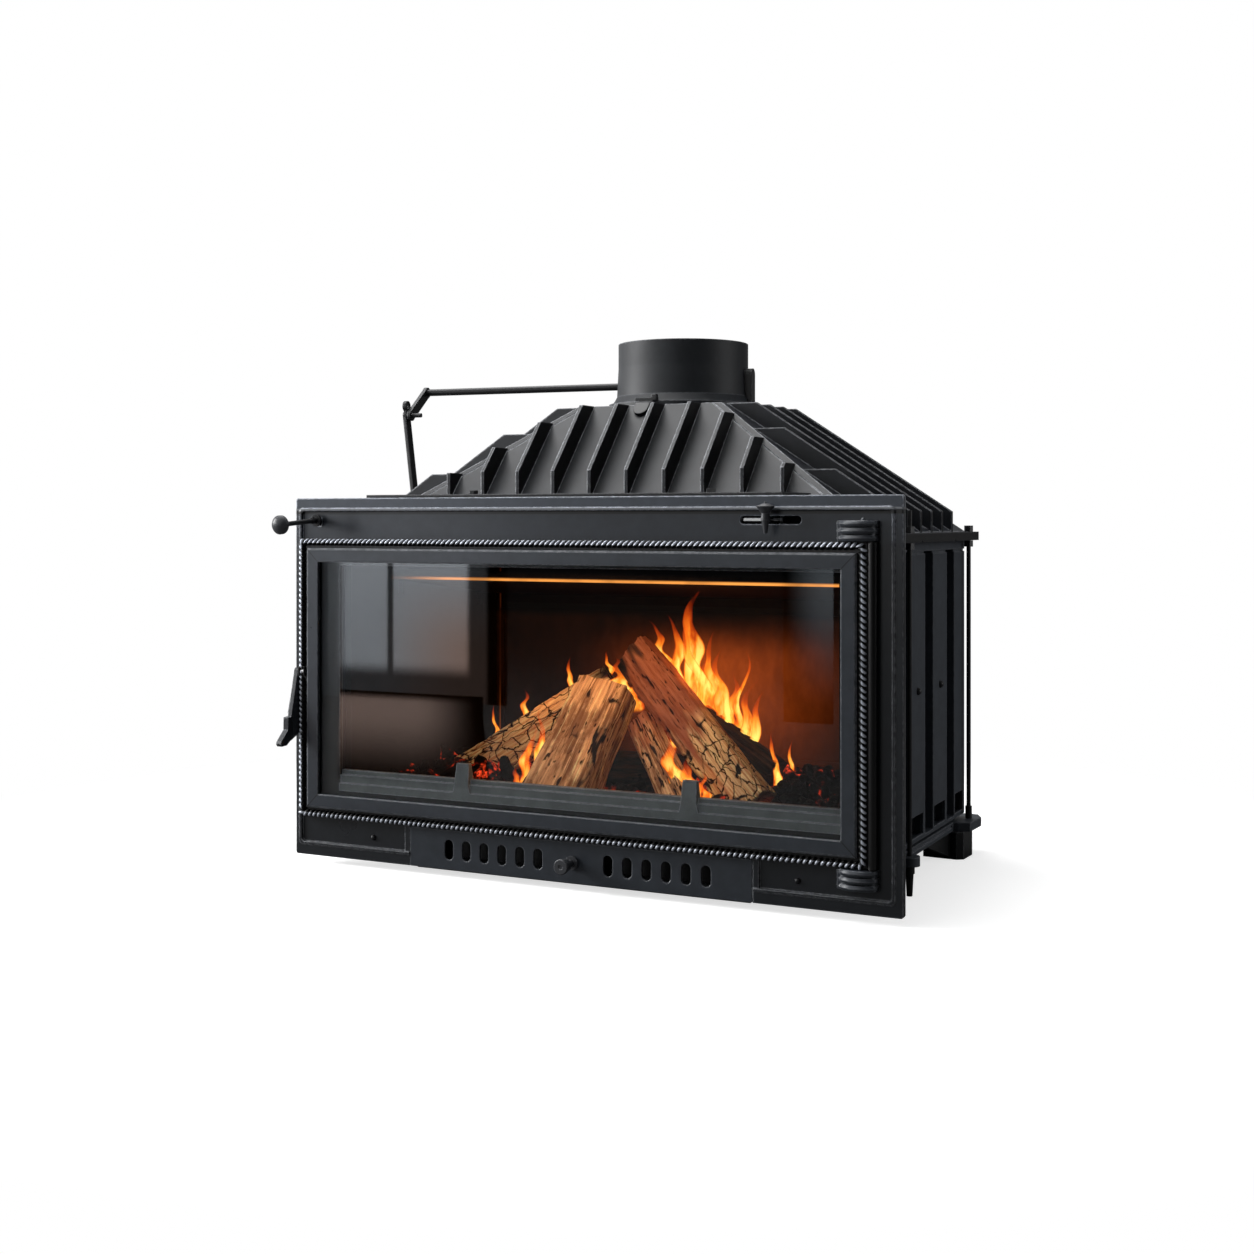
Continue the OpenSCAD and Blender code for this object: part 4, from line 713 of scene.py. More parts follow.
def rope_tree(material):
    """Strands set along a path: leaning beads over a thin core."""
    inputs = (("Pitch", 0.0068), ("Radius", 0.0043), ("Lean", 0.7))
    tree, given, out = geometry_group("Rope moulding", inputs)
    curve = node(tree, "GeometryNodeMeshToCurve", {"Mesh": given.outputs["Geometry"]})
    spaced = node(tree, "GeometryNodeResampleCurve",
                  {"Curve": curve.outputs[0], "Length": given.outputs["Pitch"]}, mode="LENGTH")
    points = node(tree, "GeometryNodeCurveToPoints", {"Curve": spaced.outputs[0]}, mode="EVALUATED")
    bead = node(tree, "GeometryNodeMeshUVSphere", {"Radius": given.outputs["Radius"]}, Segments=14, Rings=8)
    place = tree.nodes.new("GeometryNodeInputPosition")
    across = axes(tree, place.outputs[0])["Z"]
    share = math_node(tree, "ABSOLUTE", math_node(tree, "DIVIDE", across, given.outputs["Radius"]))
    marked = node(tree, "GeometryNodeStoreNamedAttribute",
                  {"Geometry": bead.outputs[0], "Value": share}, Name="groove")
    size = tree.nodes.new("ShaderNodeCombineXYZ")
    for i, share in enumerate((1.0, 1.32, 0.52)):
        size.inputs[i].default_value = share
    turn = tree.nodes.new("ShaderNodeCombineXYZ")
    tree.links.new(times(tree, given.outputs["Lean"], -1.0), turn.inputs[0])
    strand = node(tree, "GeometryNodeTransform",
                  {"Geometry": marked.outputs[0], "Scale": size.outputs[0], "Rotation": turn.outputs[0]})
    placed = node(tree, "GeometryNodeInstanceOnPoints",
                  {"Points": points.outputs[0], "Instance": strand.outputs[0],
                   "Rotation": points.outputs["Rotation"]})
    ring = node(tree, "GeometryNodeCurvePrimitiveCircle", {"Radius": given.outputs["Radius"]}, Resolution=10)
    core_size = node(tree, "GeometryNodeTransform", {"Geometry": ring.outputs[0]}, Scale=(0.62, 0.62, 0.62))
    core = node(tree, "GeometryNodeCurveToMesh",
                {"Curve": curve.outputs[0], "Profile Curve": core_size.outputs[0]})
    core.inputs["Fill Caps"].default_value = True
    both = tree.nodes.new("GeometryNodeJoinGeometry")
    # The core is marked as all groove, so it gets the strands' painted shade
    sunk = node(tree, "GeometryNodeStoreNamedAttribute",
                {"Geometry": core.outputs[0]}, Name="groove", Value=1.0)
    tree.links.new(sunk.outputs[0], both.inputs[0])
    tree.links.new(placed.outputs[0], both.inputs[0])
    real = node(tree, "GeometryNodeRealizeInstances", {"Geometry": both.outputs[0]})
    smooth = node(tree, "GeometryNodeSetShadeSmooth", {0: real.outputs[0]})
    coat = node(tree, "GeometryNodeSetMaterial", {"Geometry": smooth.outputs[0]}, Material=material)
    tree.links.new(coat.outputs[0], out.inputs[0])
    return tree


def grow(obj, name, tree, values):
    """Runs a tree of geometry nodes on an object with the given inputs."""
    modifier = obj.modifiers.new(name, "NODES")
    modifier.node_group = tree
    for item in tree.interface.items_tree:
        if item.in_out == "INPUT" and item.name in values:
            modifier[item.identifier] = values[item.name]


class INSERT_OT_make_rope(bpy.types.Operator):
    """Winds the twisted moulding round the door"""
    bl_idname = "insert.make_rope"
    bl_label = "Make Rope Moulding"

    def execute(self, context):
        look = context.scene.insert_rope
        low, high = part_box("rope_moulding")
        inset = ROPE_INSET * MM
        x0, x1, z0, z1 = low.x + inset, high.x - inset, low.z + inset, high.z - inset
        # The pale strand colour is wear on the strand tops and a painted highlight
        material = cast_material("Rope paint", (0.60, 0.64, 0.72), (0.34, 0.44), 0.4, 0.0, 0.05, 0.2,
                                 radius=0.0003, extra=strand_shade(x0, x1, z0, z1))
        y = FACE_Y - ROPE_OUT * MM
        corners = [(x0, y, z0), (x1, y, z0), (x1, y, z1), (x0, y, z1)]
        guide = bpy.data.meshes.new("rope_path")
        guide.from_pydata(corners, [(0, 1), (1, 2), (2, 3), (3, 0)], [])
        obj = placed_object("rope_path", guide)
        sizes = {"Pitch": look.pitch, "Radius": look.radius, "Lean": look.lean}
        grow(obj, "Rope", rope_tree(material), sizes)
        rope = baked(obj, "rope_strands")
        outward(rope)
        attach(rope, "door")
        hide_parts("rope_moulding")
        return {"FINISHED"}


# Fire

def wood_material():
    """Split firewood: pale fibres, red-brown heartwood, blocky bark, dark fissures, char, and painted
    firelight on the side that faces the fire.
    """
    look = bpy.context.scene.insert_fire
    material, tree, shader = new_material("Split firewood")
    wood = tuple(look.wood)
    grain = node(tree, "ShaderNodeUVMap", uv_map="grain").outputs[0]
    crack, heat, bark, heart, char = (node(tree, "ShaderNodeAttribute", attribute_name=label).outputs["Fac"]
                                      for label in ("crack", "heat", "bark", "heart", "char"))
    fibre = noise_node(tree, grain, 1.0, 6.0, 0.65, stretch=(300.0, 11.0, 1.0))
    broad = noise_node(tree, grain, 1.0, 5.0, 0.7, stretch=(110.0, 12.0, 1.0))
    patch = noise_node(tree, grain, 1.0, 5.0, 0.65, stretch=(60.0, 16.0, 1.0))
    pale = lightened(wood, 1.75)
    brown = (wood[0] * 0.30, wood[1] * 0.24, wood[2] * 0.22)
    tone = mix_color(tree, ramp(tree, fibre, 0.38, 0.60), brown, pale)
    tone = mix_color(tree, ramp(tree, broad, 0.42, 0.60, 0.0, 0.7), tone, wood)
    tone = mix_color(tree, ramp(tree, patch, 0.44, 0.60, 0.0, 0.85), tone, brown)
    tone = mix_color(tree, ramp(tree, fibre, 0.56, 0.70, 0.0, 0.8), tone, lightened(wood, 2.7))
    nicks = noise_node(tree, grain, 1.0, 2.0, 0.5, stretch=(150.0, 34.0, 1.0))
    tone = mix_color(tree, ramp(tree, nicks, 0.63, 0.68), tone, (0.025, 0.011, 0.007))
    red = mix_color(tree, ramp(tree, broad, 0.35, 0.62), (0.24, 0.070, 0.034), (0.38, 0.135, 0.070))
    red = mix_color(tree, ramp(tree, fibre, 0.36, 0.30), red, (0.09, 0.03, 0.018))
    tone = mix_color(tree, heart, tone, red)
    wobble = node(tree, "ShaderNodeTexNoise", {"Vector": grain}, Scale=55.0, Detail=3.0).outputs["Color"]
    moved = node(tree, "ShaderNodeVectorMath", {0: wobble, 2: grain}, operation="MULTIPLY_ADD")
    moved.inputs[1].default_value = (0.018, 0.018, 0.0)
    laid = node(tree, "ShaderNodeMapping", {"Vector": moved.outputs[0]})
    laid.inputs["Scale"].default_value = (88.0, 44.0, 1.0)
    blocks = node(tree, "ShaderNodeTexVoronoi", {"Vector": laid.outputs[0]},
                  feature="DISTANCE_TO_EDGE", Scale=1.0)
    seam = times(tree, ramp(tree, blocks.outputs["Distance"], 0.065, 0.01), bark)
    dull = (wood[0] * 0.95, wood[1] * 0.85, wood[2] * 0.75)
    plate = mix_color(tree, ramp(tree, fibre, 0.36, 0.64), dull, lightened(wood, 2.3))
    tone = mix_color(tree, times(tree, bark, 0.8), tone, plate)
    split = math_node(tree, "MAXIMUM", ramp(tree, crack, 0.36, 0.75), seam)
    tone = mix_color(tree, split, tone, (0.012, 0.006, 0.004))
    burnt = mix_color(tree, ramp(tree, broad, 0.40, 0.66), (0.010, 0.008, 0.007), (0.055, 0.026, 0.016))
    tone = mix_color(tree, char, tone, burnt)
    put(shader, Base_Color=tone, Roughness=0.82, Specular_IOR_Level=0.15)
    height = plus(tree, fibre, times(tree, broad, 0.8))
    height = minus(tree, height, times(tree, seam, 1.2))
    relief(tree, shader, height, 0.9, 0.0024)
    # Painted firelight: an orange glow on the side of the log that faces the fire
    hot = times(tree, heat, ramp(tree, broad, 0.30, 0.62, 0.25, 1.0))
    glow = mix_color(tree, hot, UNLIT, (1.0, 0.20, 0.02))
    put(shader, Emission_Color=glow, Emission_Strength=1.6)
    return material


def smooth_step(value, low, high):
    t = max(0.0, min(1.0, (value - low) / (high - low)))
    return t * t * (3 - 2 * t)


def make_log(name, start, end, outline, material, seed, cuts, firelight_side, bark, heart, char):
    """A split log; bark, heart and char are the spans of its length that they come in over."""
    axis = end - start
    length = axis.length
    along = axis.normalized()
    side = along.cross(Vector((0, 1, 0)))
    side = (Vector((1, 0, 0)) if side.length < 0.1 else side).normalized()
    front = side.cross(along).normalized()
    around, rings = 112, 120
    count = len(outline)
    ring = []
    for j in range(around):
        t = j / around * count
        i = int(t)
        u = t - i
        p0, p1, p2, p3 = (Vector(outline[(i + k) % count]) for k in (-1, 0, 1, 2))
        soft = ((2 * p1) + (p2 - p0) * u + (2 * p0 - 5 * p1 + 4 * p2 - p3) * u * u
                + (3 * p1 - p0 - 3 * p2 + p3) * u * u * u) * 0.5
        ring.append(soft * 0.25 + (p1 * (1 - u) + p2 * u) * 0.75)
    verts, coords = [], []
    marks = {label: [] for label in ("crack", "heat", "bark", "heart", "char")}
    shift = Vector((seed * 3.7, seed * 1.3, seed * 2.1))
    for i in range(rings):
        v = i / (rings - 1)
        swell = 1 + 0.06 * noise.noise(Vector((v * 3, seed, 0))) + 0.16 * (v if along.z < 0 else 1 - v)
        for j in range(around):
            p = ring[j] * swell
            angle = math.atan2(p.y, p.x)
            radial = Vector((math.cos(angle), math.sin(angle)))
            key = Vector((radial.x * 3.4, radial.y * 3.4, v * length * 8)) + shift
            ridge = 1 - abs(noise.fractal(key, 0.9, 2.1, 4)) * 2.4
            deep = max(0.0, ridge - 0.66) / 0.34 * cuts
            across = Vector((radial.x * 1.2, radial.y * 1.2, v * length * 26)) + shift
            check = max(0.0, 1 - abs(noise.noise(across)) * 9) * max(0.0, noise.noise(key * 0.5) + 0.05) * 2
            depth = min(1.0, deep * 0.9 + check * 0.8 * cuts)
            lump = noise.noise(Vector((radial.x, radial.y, v * length * 6)) + shift) * 1.8
            fray = noise.noise(Vector((radial.x * 9, radial.y * 9, v * length * 14)) + shift) * 0.9
            r = p.length * MM + (lump + fray - depth * 2.2) * MM
            ragged = noise.noise(Vector((radial.x * 5, radial.y * 5, seed))) * 2.5 * MM
            place = start + along * (v * length + (ragged if i in (0, rings - 1) else 0))
            verts.append(place + (side * radial.x + front * radial.y) * r)
            uneven = noise.noise(Vector((radial.x * 2, radial.y * 2, v * 6)) + shift) * 0.22
            marks["crack"].append(depth)
            # How much painted firelight each point gets, from how it faces the fire
            marks["heat"].append(0.55 * max(0.0, radial.dot(Vector(firelight_side))) ** 1.6 if firelight_side else 0.0)
            for label, reach in (("bark", bark), ("heart", heart), ("char", char)):
                marks[label].append(smooth_step(v + uneven, *reach) if reach else 0.0)
            coords.append((j / around * 0.2, v * length))
    faces = grid_faces(rings, around)
    for base, mid in ((0, start), ((rings - 1) * around, end)):
        previous = list(range(base, base + around))
        for share in (0.72, 0.4, 0.12):
            fresh = []
            for j in range(around):
                p = mid.lerp(verts[base + j], share)
                bend = noise.noise(p * 90 + shift) * 1.6 * MM
                verts.append(p + along * (bend * (1 - share)))
                for label in marks:
                    marks[label].append(marks[label][base + j] if label in ("char", "heart") else 0.0)
                coords.append((share * 0.05, j / around * 0.12))
                fresh.append(len(verts) - 1)
            for j in range(around):
                k = (j + 1) % around
                faces.append((previous[j], previous[k], fresh[k], fresh[j]))
            previous = fresh
        faces.append(tuple(previous))
    obj = mesh_object(name, verts, faces, material)
    mesh = obj.data
    for label, values in marks.items():
        mesh.attributes.new(label, "FLOAT", "POINT").data.foreach_set("value", values)
    layer = mesh.uv_layers.new(name="grain")
    for loop in mesh.loops:
        layer.data[loop.index].uv = coords[loop.vertex_index]
    outward(obj)
    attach(obj, "case")
    return obj


SPLIT = [(-35, -24), (-37, 2), (-33, 22), (0, 25), (31, 21), (36, 8), (33, -22), (0, -27)]
BLOCK = [(-35, -24), (-37, 2), (-36, 24), (0, 26), (36, 24), (37, 4), (35, -23), (0, -26)]
SLAB = [(-26, -12), (-27, 10), (-14, 17), (10, 18), (25, 9), (26, -12), (4, -18)]
STICK = [(-17, -13), (-16, 12), (4, 16), (17, 7), (14, -13)]

# Each log, read off and trimmed: the place of its start in the photograph and how far that is
# behind the face, the same of its end, outline, size, depth of its cracks, side that faces the fire, and the
# spans of bark, of red heartwood and of char along it; a hidden end is placed where the log has to reach
LOGS = {
    "log_front": ((556, 803, 84), (608, 688.5, 180), BLOCK, 0.98, 0.75, (1.0, -0.2), None, None, None),
    "log_right": ((636, 652, 214), (757, 810, 108), SLAB, 1.0, 0.8, (0.9, 0.3),
                  (0.52, 0.66), (0.62, 0.5), (0.07, -0.06)),
    "log_back": ((458, 783, 186), (615, 682.5, 252), SLAB, 0.95, 0.8, (-0.7, 0.7),
                 (-1, -0.5), None, (0.86, 1.05)),
    "log_middle": ((643, 722, 168), (685, 808, 80), STICK, 1.0, 1.2, (0.9, 0.2), None, (0.5, 0.0), None),
    "log_under": ((585, 775.5, 176), (684.5, 777.5, 186), SPLIT, 0.8, 1.0, None, None, None, (-1, -0.5)),
    "log_rear": ((700, 718, 236), (776, 777, 200), SPLIT, 0.55, 1.2, (0.4, 0.9), None, None, (-1, -0.5)),
}


def log_end(px, py, depth):
    """A log's end, to the nearest millimetre."""
    x, z, _ = seen(px, py, depth)
    return at(round(x), depth, round(z))


class INSERT_OT_stack_logs(bpy.types.Operator):
    """Stacks the split logs on the grate"""
    bl_idname = "insert.stack_logs"
    bl_label = "Stack Logs"

    def execute(self, context):
        material = wood_material()
        for i, (name, (start, end, outline, size, *marks)) in enumerate(LOGS.items()):
            shape = [(x * size, y * size) for x, y in outline]
            seed = i + context.scene.insert_fire.seed
            make_log(name, log_end(*start), log_end(*end), shape, material, seed, *marks)
        return {"FINISHED"}


def flame_material():
    """Glowing gas: pale yellow where it is dense, orange and see-through at the edges and tips."""
    look = bpy.context.scene.insert_fire
    material, tree, shader = new_material("Flame")
    rise = node(tree, "ShaderNodeAttribute", attribute_name="rise").outputs["Fac"]
    facing = node(tree, "ShaderNodeLayerWeight", Blend=0.5).outputs["Facing"]
    coords = object_coords(tree)
    lick = noise_node(tree, coords, 1.0, 3.0, 0.55, stretch=(70.0, 70.0, 22.0))
    body = minus(tree, 1.0, facing)
    dense = times(tree, math_node(tree, "POWER", body, 1.7), ramp(tree, rise, 1.0, 0.35))
    dense = times(tree, dense, ramp(tree, lick, 0.34, 0.60, 0.25, 1.15))
    hot = node(tree, "ShaderNodeValToRGB", {"Fac": dense})
    stops = hot.color_ramp
    stops.elements[0].position = 0.0
    stops.elements[0].color = (0.62, 0.035, 0.002, 1)
    stops.elements[1].position = 0.95
    stops.elements[1].color = (1.0, 0.66, 0.13, 1)
    for place, color in ((0.25, (0.95, 0.11, 0.005, 1)), (0.55, (1.0, 0.30, 0.018, 1))):
        stops.elements.new(place).color = color
    put(shader, Base_Color=(0, 0, 0, 1), Roughness=1.0, Specular_IOR_Level=0.0)
    put(shader, Emission_Color=hot.outputs["Color"], Emission_Strength=look.flame_light * 0.2)
    soft = times(tree, math_node(tree, "POWER", body, 1.3), ramp(tree, rise, 0.0, 0.16, 0.1, 1.0))
    fade = times(tree, soft, ramp(tree, rise, 1.0, 0.30, 0.05, 0.9))
    fade = times(tree, fade, ramp(tree, lick, 0.30, 0.56, 0.30, 1.0))
    put(shader, Alpha=fade)
    return material


def flame_tongue(base, height, width, lean, curl, seed):
    """Rings of one tongue: full near the foot, waving, drawn out to a point."""
    rings, around = 34, 14
    verts, rise = [], []
    waves = 2 + int(seed * 7) % 2
    for i in range(rings):
        t = i / (rings - 1)
        full = math.sin(math.pi * 0.5 * min(1.0, t / 0.2 + 0.25)) * (1 - t) ** 0.9
        body = width * 0.70 * max(0.004, full) * (1 + 0.45 * noise.noise(Vector((seed * 5.1, t * 5, 0))))
        sway = curl * 1.3 * math.sin(t * math.pi * waves) * (0.4 + 0.6 * t) + lean * t ** 1.5
        wander = noise.noise(Vector((seed * 2.3, t * 4, 4))) * width * 0.5 * t * (1 - t) * 4
        middle = Vector((base.x + sway + wander, base.y + wander * 0.5, base.z + height * t))
        for j in range(around):
            a = 2 * math.pi * j / around
            verts.append(middle + Vector((math.cos(a) * body, math.sin(a) * body * 0.45, 0)))
            rise.append(t)
    return verts, rise, rings, around


# Each tongue, read off and some then trimmed: its tip and foot in the photograph and its width
# there in dots, then how far behind the face it stands and its curl in millimetres
FLAMES = [
    ((702.5, 588), (690.5, 705), 27, 240, 9), ((649, 622), (673, 676), 17, 246, 6),
    ((668, 616), (684, 692), 18, 240, -6), ((692.5, 614), (701.5, 712), 18, 234, 7),
    ((714, 633), (711, 722), 17, 238, -6), ((721, 650.5), (722, 735.5), 20, 230, 7),
    ((733, 674), (730, 746), 18, 234, -6), ((745, 651), (739, 742), 9, 246, 8),
    ((704, 656), (706, 722), 26, 244, 5), ((759.5, 681), (741.5, 762), 19, 224, 8),
    ((764.5, 692.5), (748.5, 767), 14.5, 218, -5), ((727, 693), (727, 746), 20, 240, -5),
    ((772, 733), (779, 784), 10, 190, 4), ((793, 741), (791, 778), 6, 200, 3),
    ((689.5, 655), (694.5, 708), 26, 246, 4), ((742, 706), (741, 756), 22, 230, 4),
    ((571, 658), (569, 692), 8, 262, 3), ((607, 652), (610, 676), 8, 266, -3),
    ((525, 690.5), (528, 720), 11, 262, 3), ((495, 706), (498, 738), 6, 262, 2),
    ((616, 659.5), (619, 694.5), 26, 232, 3), ((630, 669.5), (632, 703.5), 26, 226, -3),
    ((608, 676), (609, 690), 12, 236, 2), ((534, 724), (526, 784), 15, 104, 5),
    ((542, 706), (540, 766), 10, 120, -4), ((517, 768), (520, 788), 12, 108, 2),
    ((548, 740), (540, 786), 9, 102, 3), ((663, 728.5), (681, 797), 23.5, 92, 6),
    ((654, 724), (668, 780), 8, 150, -4), ((690, 758), (691, 797), 23, 88, 4),
    ((671, 758), (676, 797), 14, 96, -4), ((702, 772), (706, 797), 12, 86, 3),
    ((676, 712), (672, 740), 9, 190, 3),
]
FOOT_SUNK, TONGUE_LONGER = 12, 14


class INSERT_OT_light_flames(bpy.types.Operator):
    """Shapes the flames between and behind the logs"""
    bl_idname = "insert.light_flames"
    bl_label = "Light Flames"

    def execute(self, context):
        verts, rise, faces = [], [], []
        seed = context.scene.insert_fire.seed
        for i, (tip, foot, width, depth, curl) in enumerate(FLAMES):
            x, z, dot = seen(*foot, depth)
            tip_x, tip_z, _ = seen(*tip, depth)
            sizes = (round(tip_z - z) + TONGUE_LONGER, round(width * dot), round(tip_x - x), curl)
            base = at(round(x), depth, round(z)) - Vector((0, 0, FOOT_SUNK * MM))
            sizes = [size * MM for size in sizes]
            ring_verts, levels, rings, around = flame_tongue(base, *sizes, seed + i * 0.77)
            start = len(verts)
            verts += ring_verts
            rise += levels
            faces += [tuple(start + k for k in face) for face in grid_faces(rings, around)]
            faces.append(tuple(start + k for k in reversed(range(around))))
            faces.append(tuple(start + (rings - 1) * around + k for k in range(around)))
        obj = mesh_object("flames", verts, faces, flame_material())
        obj.data.attributes.new("rise", "FLOAT", "POINT").data.foreach_set("value", rise)
        obj.visible_shadow = False
        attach(obj, "case")
        return {"FINISHED"}


def ember_material():
    """Charcoal lumps, some of them glowing through their cracks."""
    look = bpy.context.scene.insert_fire
    material, tree, shader = new_material("Embers")
    coords = object_coords(tree)
    ash = noise_node(tree, coords, 120.0, 5.0, 0.7)
    lump = noise_node(tree, coords, 24.0, 3.0, 0.6)
    tone = mix_color(tree, ramp(tree, ash, 0.55, 0.75), (0.006, 0.005, 0.005), (0.045, 0.036, 0.034))
    put(shader, Base_Color=tone, Roughness=0.9, Specular_IOR_Level=0.1)
    hot = times(tree, ramp(tree, lump, 0.52, 0.66), ramp(tree, ash, 0.46, 0.64))
    glow = mix_color(tree, hot, UNLIT, (0.8, 0.05, 0.012))
    put(shader, Emission_Color=glow, Emission_Strength=look.ember_light)
    relief(tree, shader, ash, 0.8, 0.002)
    return material


def ember_tree(material):
    """Lumps of charcoal scattered over a bed, with fixed seeds."""
    tree, given, out = geometry_group("Ember bed", (("Lump size", 0.009), ("Per square metre", 9000.0)))
    spread = node(tree, "GeometryNodeDistributePointsOnFaces",
                  {"Mesh": given.outputs[0], "Density": given.outputs["Per square metre"]}, Seed=7)
    lump = node(tree, "GeometryNodeMeshIcoSphere", {"Radius": given.outputs["Lump size"]}, Subdivisions=2)
    rough = node(tree, "ShaderNodeTexNoise", Scale=130.0, Detail=2.0)
    push = tree.nodes.new("ShaderNodeVectorMath")
    push.operation = "SCALE"
    tree.links.new(rough.outputs["Color"], push.inputs[0])
    push.inputs["Scale"].default_value = 0.010
    craggy = node(tree, "GeometryNodeSetPosition", {"Geometry": lump.outputs[0], "Offset": push.outputs[0]})
    size, turn = (node(tree, "FunctionNodeRandomValue", data_type="FLOAT_VECTOR") for _ in range(2))
    spans = ((size, (0.5, 0.45, 0.4), (1.5, 1.1, 1.0), 3), (turn, (0, 0, 0), (6.28,) * 3, 5))
    for made, low, high, seed in spans:
        made.inputs[0].default_value = low
        made.inputs[1].default_value = high
        made.inputs["Seed"].default_value = seed
    placed = node(tree, "GeometryNodeInstanceOnPoints",
                  {"Points": spread.outputs[0], "Instance": craggy.outputs[0],
                   "Scale": size.outputs[0], "Rotation": turn.outputs[0]})
    both = tree.nodes.new("GeometryNodeJoinGeometry")
    tree.links.new(given.outputs[0], both.inputs[0])
    tree.links.new(placed.outputs[0], both.inputs[0])
    real = node(tree, "GeometryNodeRealizeInstances", {"Geometry": both.outputs[0]})
    coat = node(tree, "GeometryNodeSetMaterial", {"Geometry": real.outputs[0]}, Material=material)
    tree.links.new(coat.outputs[0], out.inputs[0])
    return tree


class INSERT_OT_lay_embers(bpy.types.Operator):
    """Lays the ember bed under the logs"""
    bl_idname = "insert.lay_embers"
    bl_label = "Lay Embers"

    def execute(self, context):
        across, deep = 60, 22
        (x0, x1), (y0, y1) = BED
        verts = []
        for j in range(deep):
            for i in range(across):
                u, v = i / (across - 1), j / (deep - 1)
                x, y = x0 + (x1 - x0) * u, y0 + (y1 - y0) * v
                rim = min(1.0, 5 * u, 5 * (1 - u), 5 * v, 5 * (1 - v))
                mound = 5 + 16 * rim * (0.55 + noise.noise(Vector((x * 0.012, y * 0.02, 2))))
                side = sum(high * math.exp(-((x - middle) / wide) ** 2 - ((y - HEAP_Y) / HEAP_DEPTH) ** 2)
                           for middle, wide, high in HEAPS)
                hollow = 9 * smooth_step(abs(x - 20), 240, 150) * smooth_step(y, 190, 130)
                verts.append(at(x, y, BED_Z - hollow + max(0.0, mound - 5) * 0.6 + side * 0.8))
        bed = mesh_object("ember_path", verts, grid_faces(deep, across, closed=False))
        grow(bed, "Embers", ember_tree(ember_material()), {"Lump size": 0.0115, "Per square metre": 4800.0})
        obj = baked(bed, "embers")
        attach(obj, "case")
        return {"FINISHED"}


# Studio

def area_light(name, place, aim, size, power, color=(1, 1, 1), depth=None):
    lamp = bpy.data.lights.new(name, "AREA")
    lamp.shape = "RECTANGLE"
    lamp.size = size
    lamp.size_y = depth or size
    lamp.energy = power
    lamp.color = color
    obj = placed_object(name, lamp)
    obj.location = place
    obj.rotation_euler = (Vector(aim) - Vector(place)).to_track_quat("-Z", "Y").to_euler()
    return obj


def glow_only(name, color):
    """A material that only shines; returns it with its tree, its shader and the axes of its coordinates."""
    material, tree, shader = new_material(name)
    split = axes(tree, object_coords(tree))
    put(shader, Base_Color=(0, 0, 0, 1), Specular_IOR_Level=0.0, Emission_Color=(*color, 1))
    return material, tree, shader, split


def pane_light(strength):
    """Two soft bright panes with a dark bar between them, warm at the lower right."""
    material, tree, shader, split = glow_only("Soft panes", (1, 1, 1))
    x, z = split["X"], split["Z"]
    low, bar, high = at(-1335, 0, 90), at(-1203, 0, 0), at(-990, 0, 600)
    sides = times(tree, ramp(tree, x, low.x - 0.02, low.x + 0.02), ramp(tree, x, high.x, high.x - 0.02))
    split_bar = ramp(tree, away_from(tree, x, bar.x), 0.004, 0.012)
    fade = times(tree, ramp(tree, z, low.z - 0.02, low.z + 0.02), ramp(tree, z, low.z, high.z, 0.75, 1.2))
    light = times(tree, times(tree, sides, split_bar), fade)
    warm = times(tree, ramp(tree, z, at(0, 0, 330).z, at(0, 0, 120).z), ramp(tree, x, bar.x - 0.05, high.x))
    color = mix_color(tree, warm, (0.86, 0.92, 1.0), (0.95, 0.66, 0.56))
    put(shader, Emission_Color=color)
    haze = ramp(tree, x, at(-945, 0, 0).x, at(-958, 0, 0).x, 0.0, 0.10)
    put(shader, Emission_Strength=times(tree, plus(tree, light, haze), strength))
    return material


def patch_light(strength):
    """A warm patch on the floor that fades towards the object."""
    material, tree, shader, split = glow_only("Soft floor patch", (1.0, 0.72, 0.62))
    slope = 0.63
    slant = minus(tree, split["X"], times(tree, split["Y"], slope))
    base = at(0, 0, 0).y * slope
    near, far = at(0, PATCH_NEAR_Y, 0).y, at(0, -1400, 0).y
    glow = times(tree, ramp(tree, slant, -0.09 - base, -0.26 - base),
                 ramp(tree, split["Y"], near, far, 0.0, strength * 0.55))
    glow = times(tree, glow, ramp(tree, split["Z"], at(0, 0, 34).z, at(0, 0, 14).z))
    put(shader, Emission_Strength=glow)
    return material


def strip_light(strength):
    """A pale strip that brightens to its right and its top."""
    material, tree, shader, split = glow_only("Soft side strip", (0.80, 0.90, 1.0))
    glow = times(tree, ramp(tree, split["X"], at(-265, 0, 0).x, at(-175, 0, 0).x, 0.0, strength * 0.3),
                 ramp(tree, split["Z"], at(0, 0, 40).z, at(0, 0, 330).z))
    put(shader, Emission_Strength=glow)
    return material


def upright(y, x0, x1, z0, z1):
    """The corners of an upright oblong that faces the object."""
    return [at(x, y, z) for x, z in ((x0, z0), (x1, z0), (x1, z1), (x0, z1))]


def reflected_panes(strength):
    """Soft bright shapes in front of the object, seen only as reflections in the glass."""
    window, patch, strip = pane_light(strength), patch_light(strength), strip_light(strength)
    edge_y = PANES_Y + 1
    floor_places = ((-1340, edge_y), (-960, edge_y), (-440, PATCH_NEAR_Y), (-734, PATCH_NEAR_Y))
    shapes = (
        ("soft_panes", upright(PANES_Y, -1400, -900, 20, 620), window),
        ("soft_floor_patch", [at(x, y, -6) for x, y in floor_places], patch),
        ("soft_floor_edge", upright(edge_y, -1340, -960, -6, 36), patch),
        ("soft_side_strip", upright(PANES_Y, -265, -160, 20, 420), strip),
    )
    for name, corners, coat in shapes:
        panes = mesh_object(name, corners, [(0, 1, 2, 3)], coat, smooth=False)
        panes.visible_camera = panes.visible_diffuse = panes.visible_shadow = False


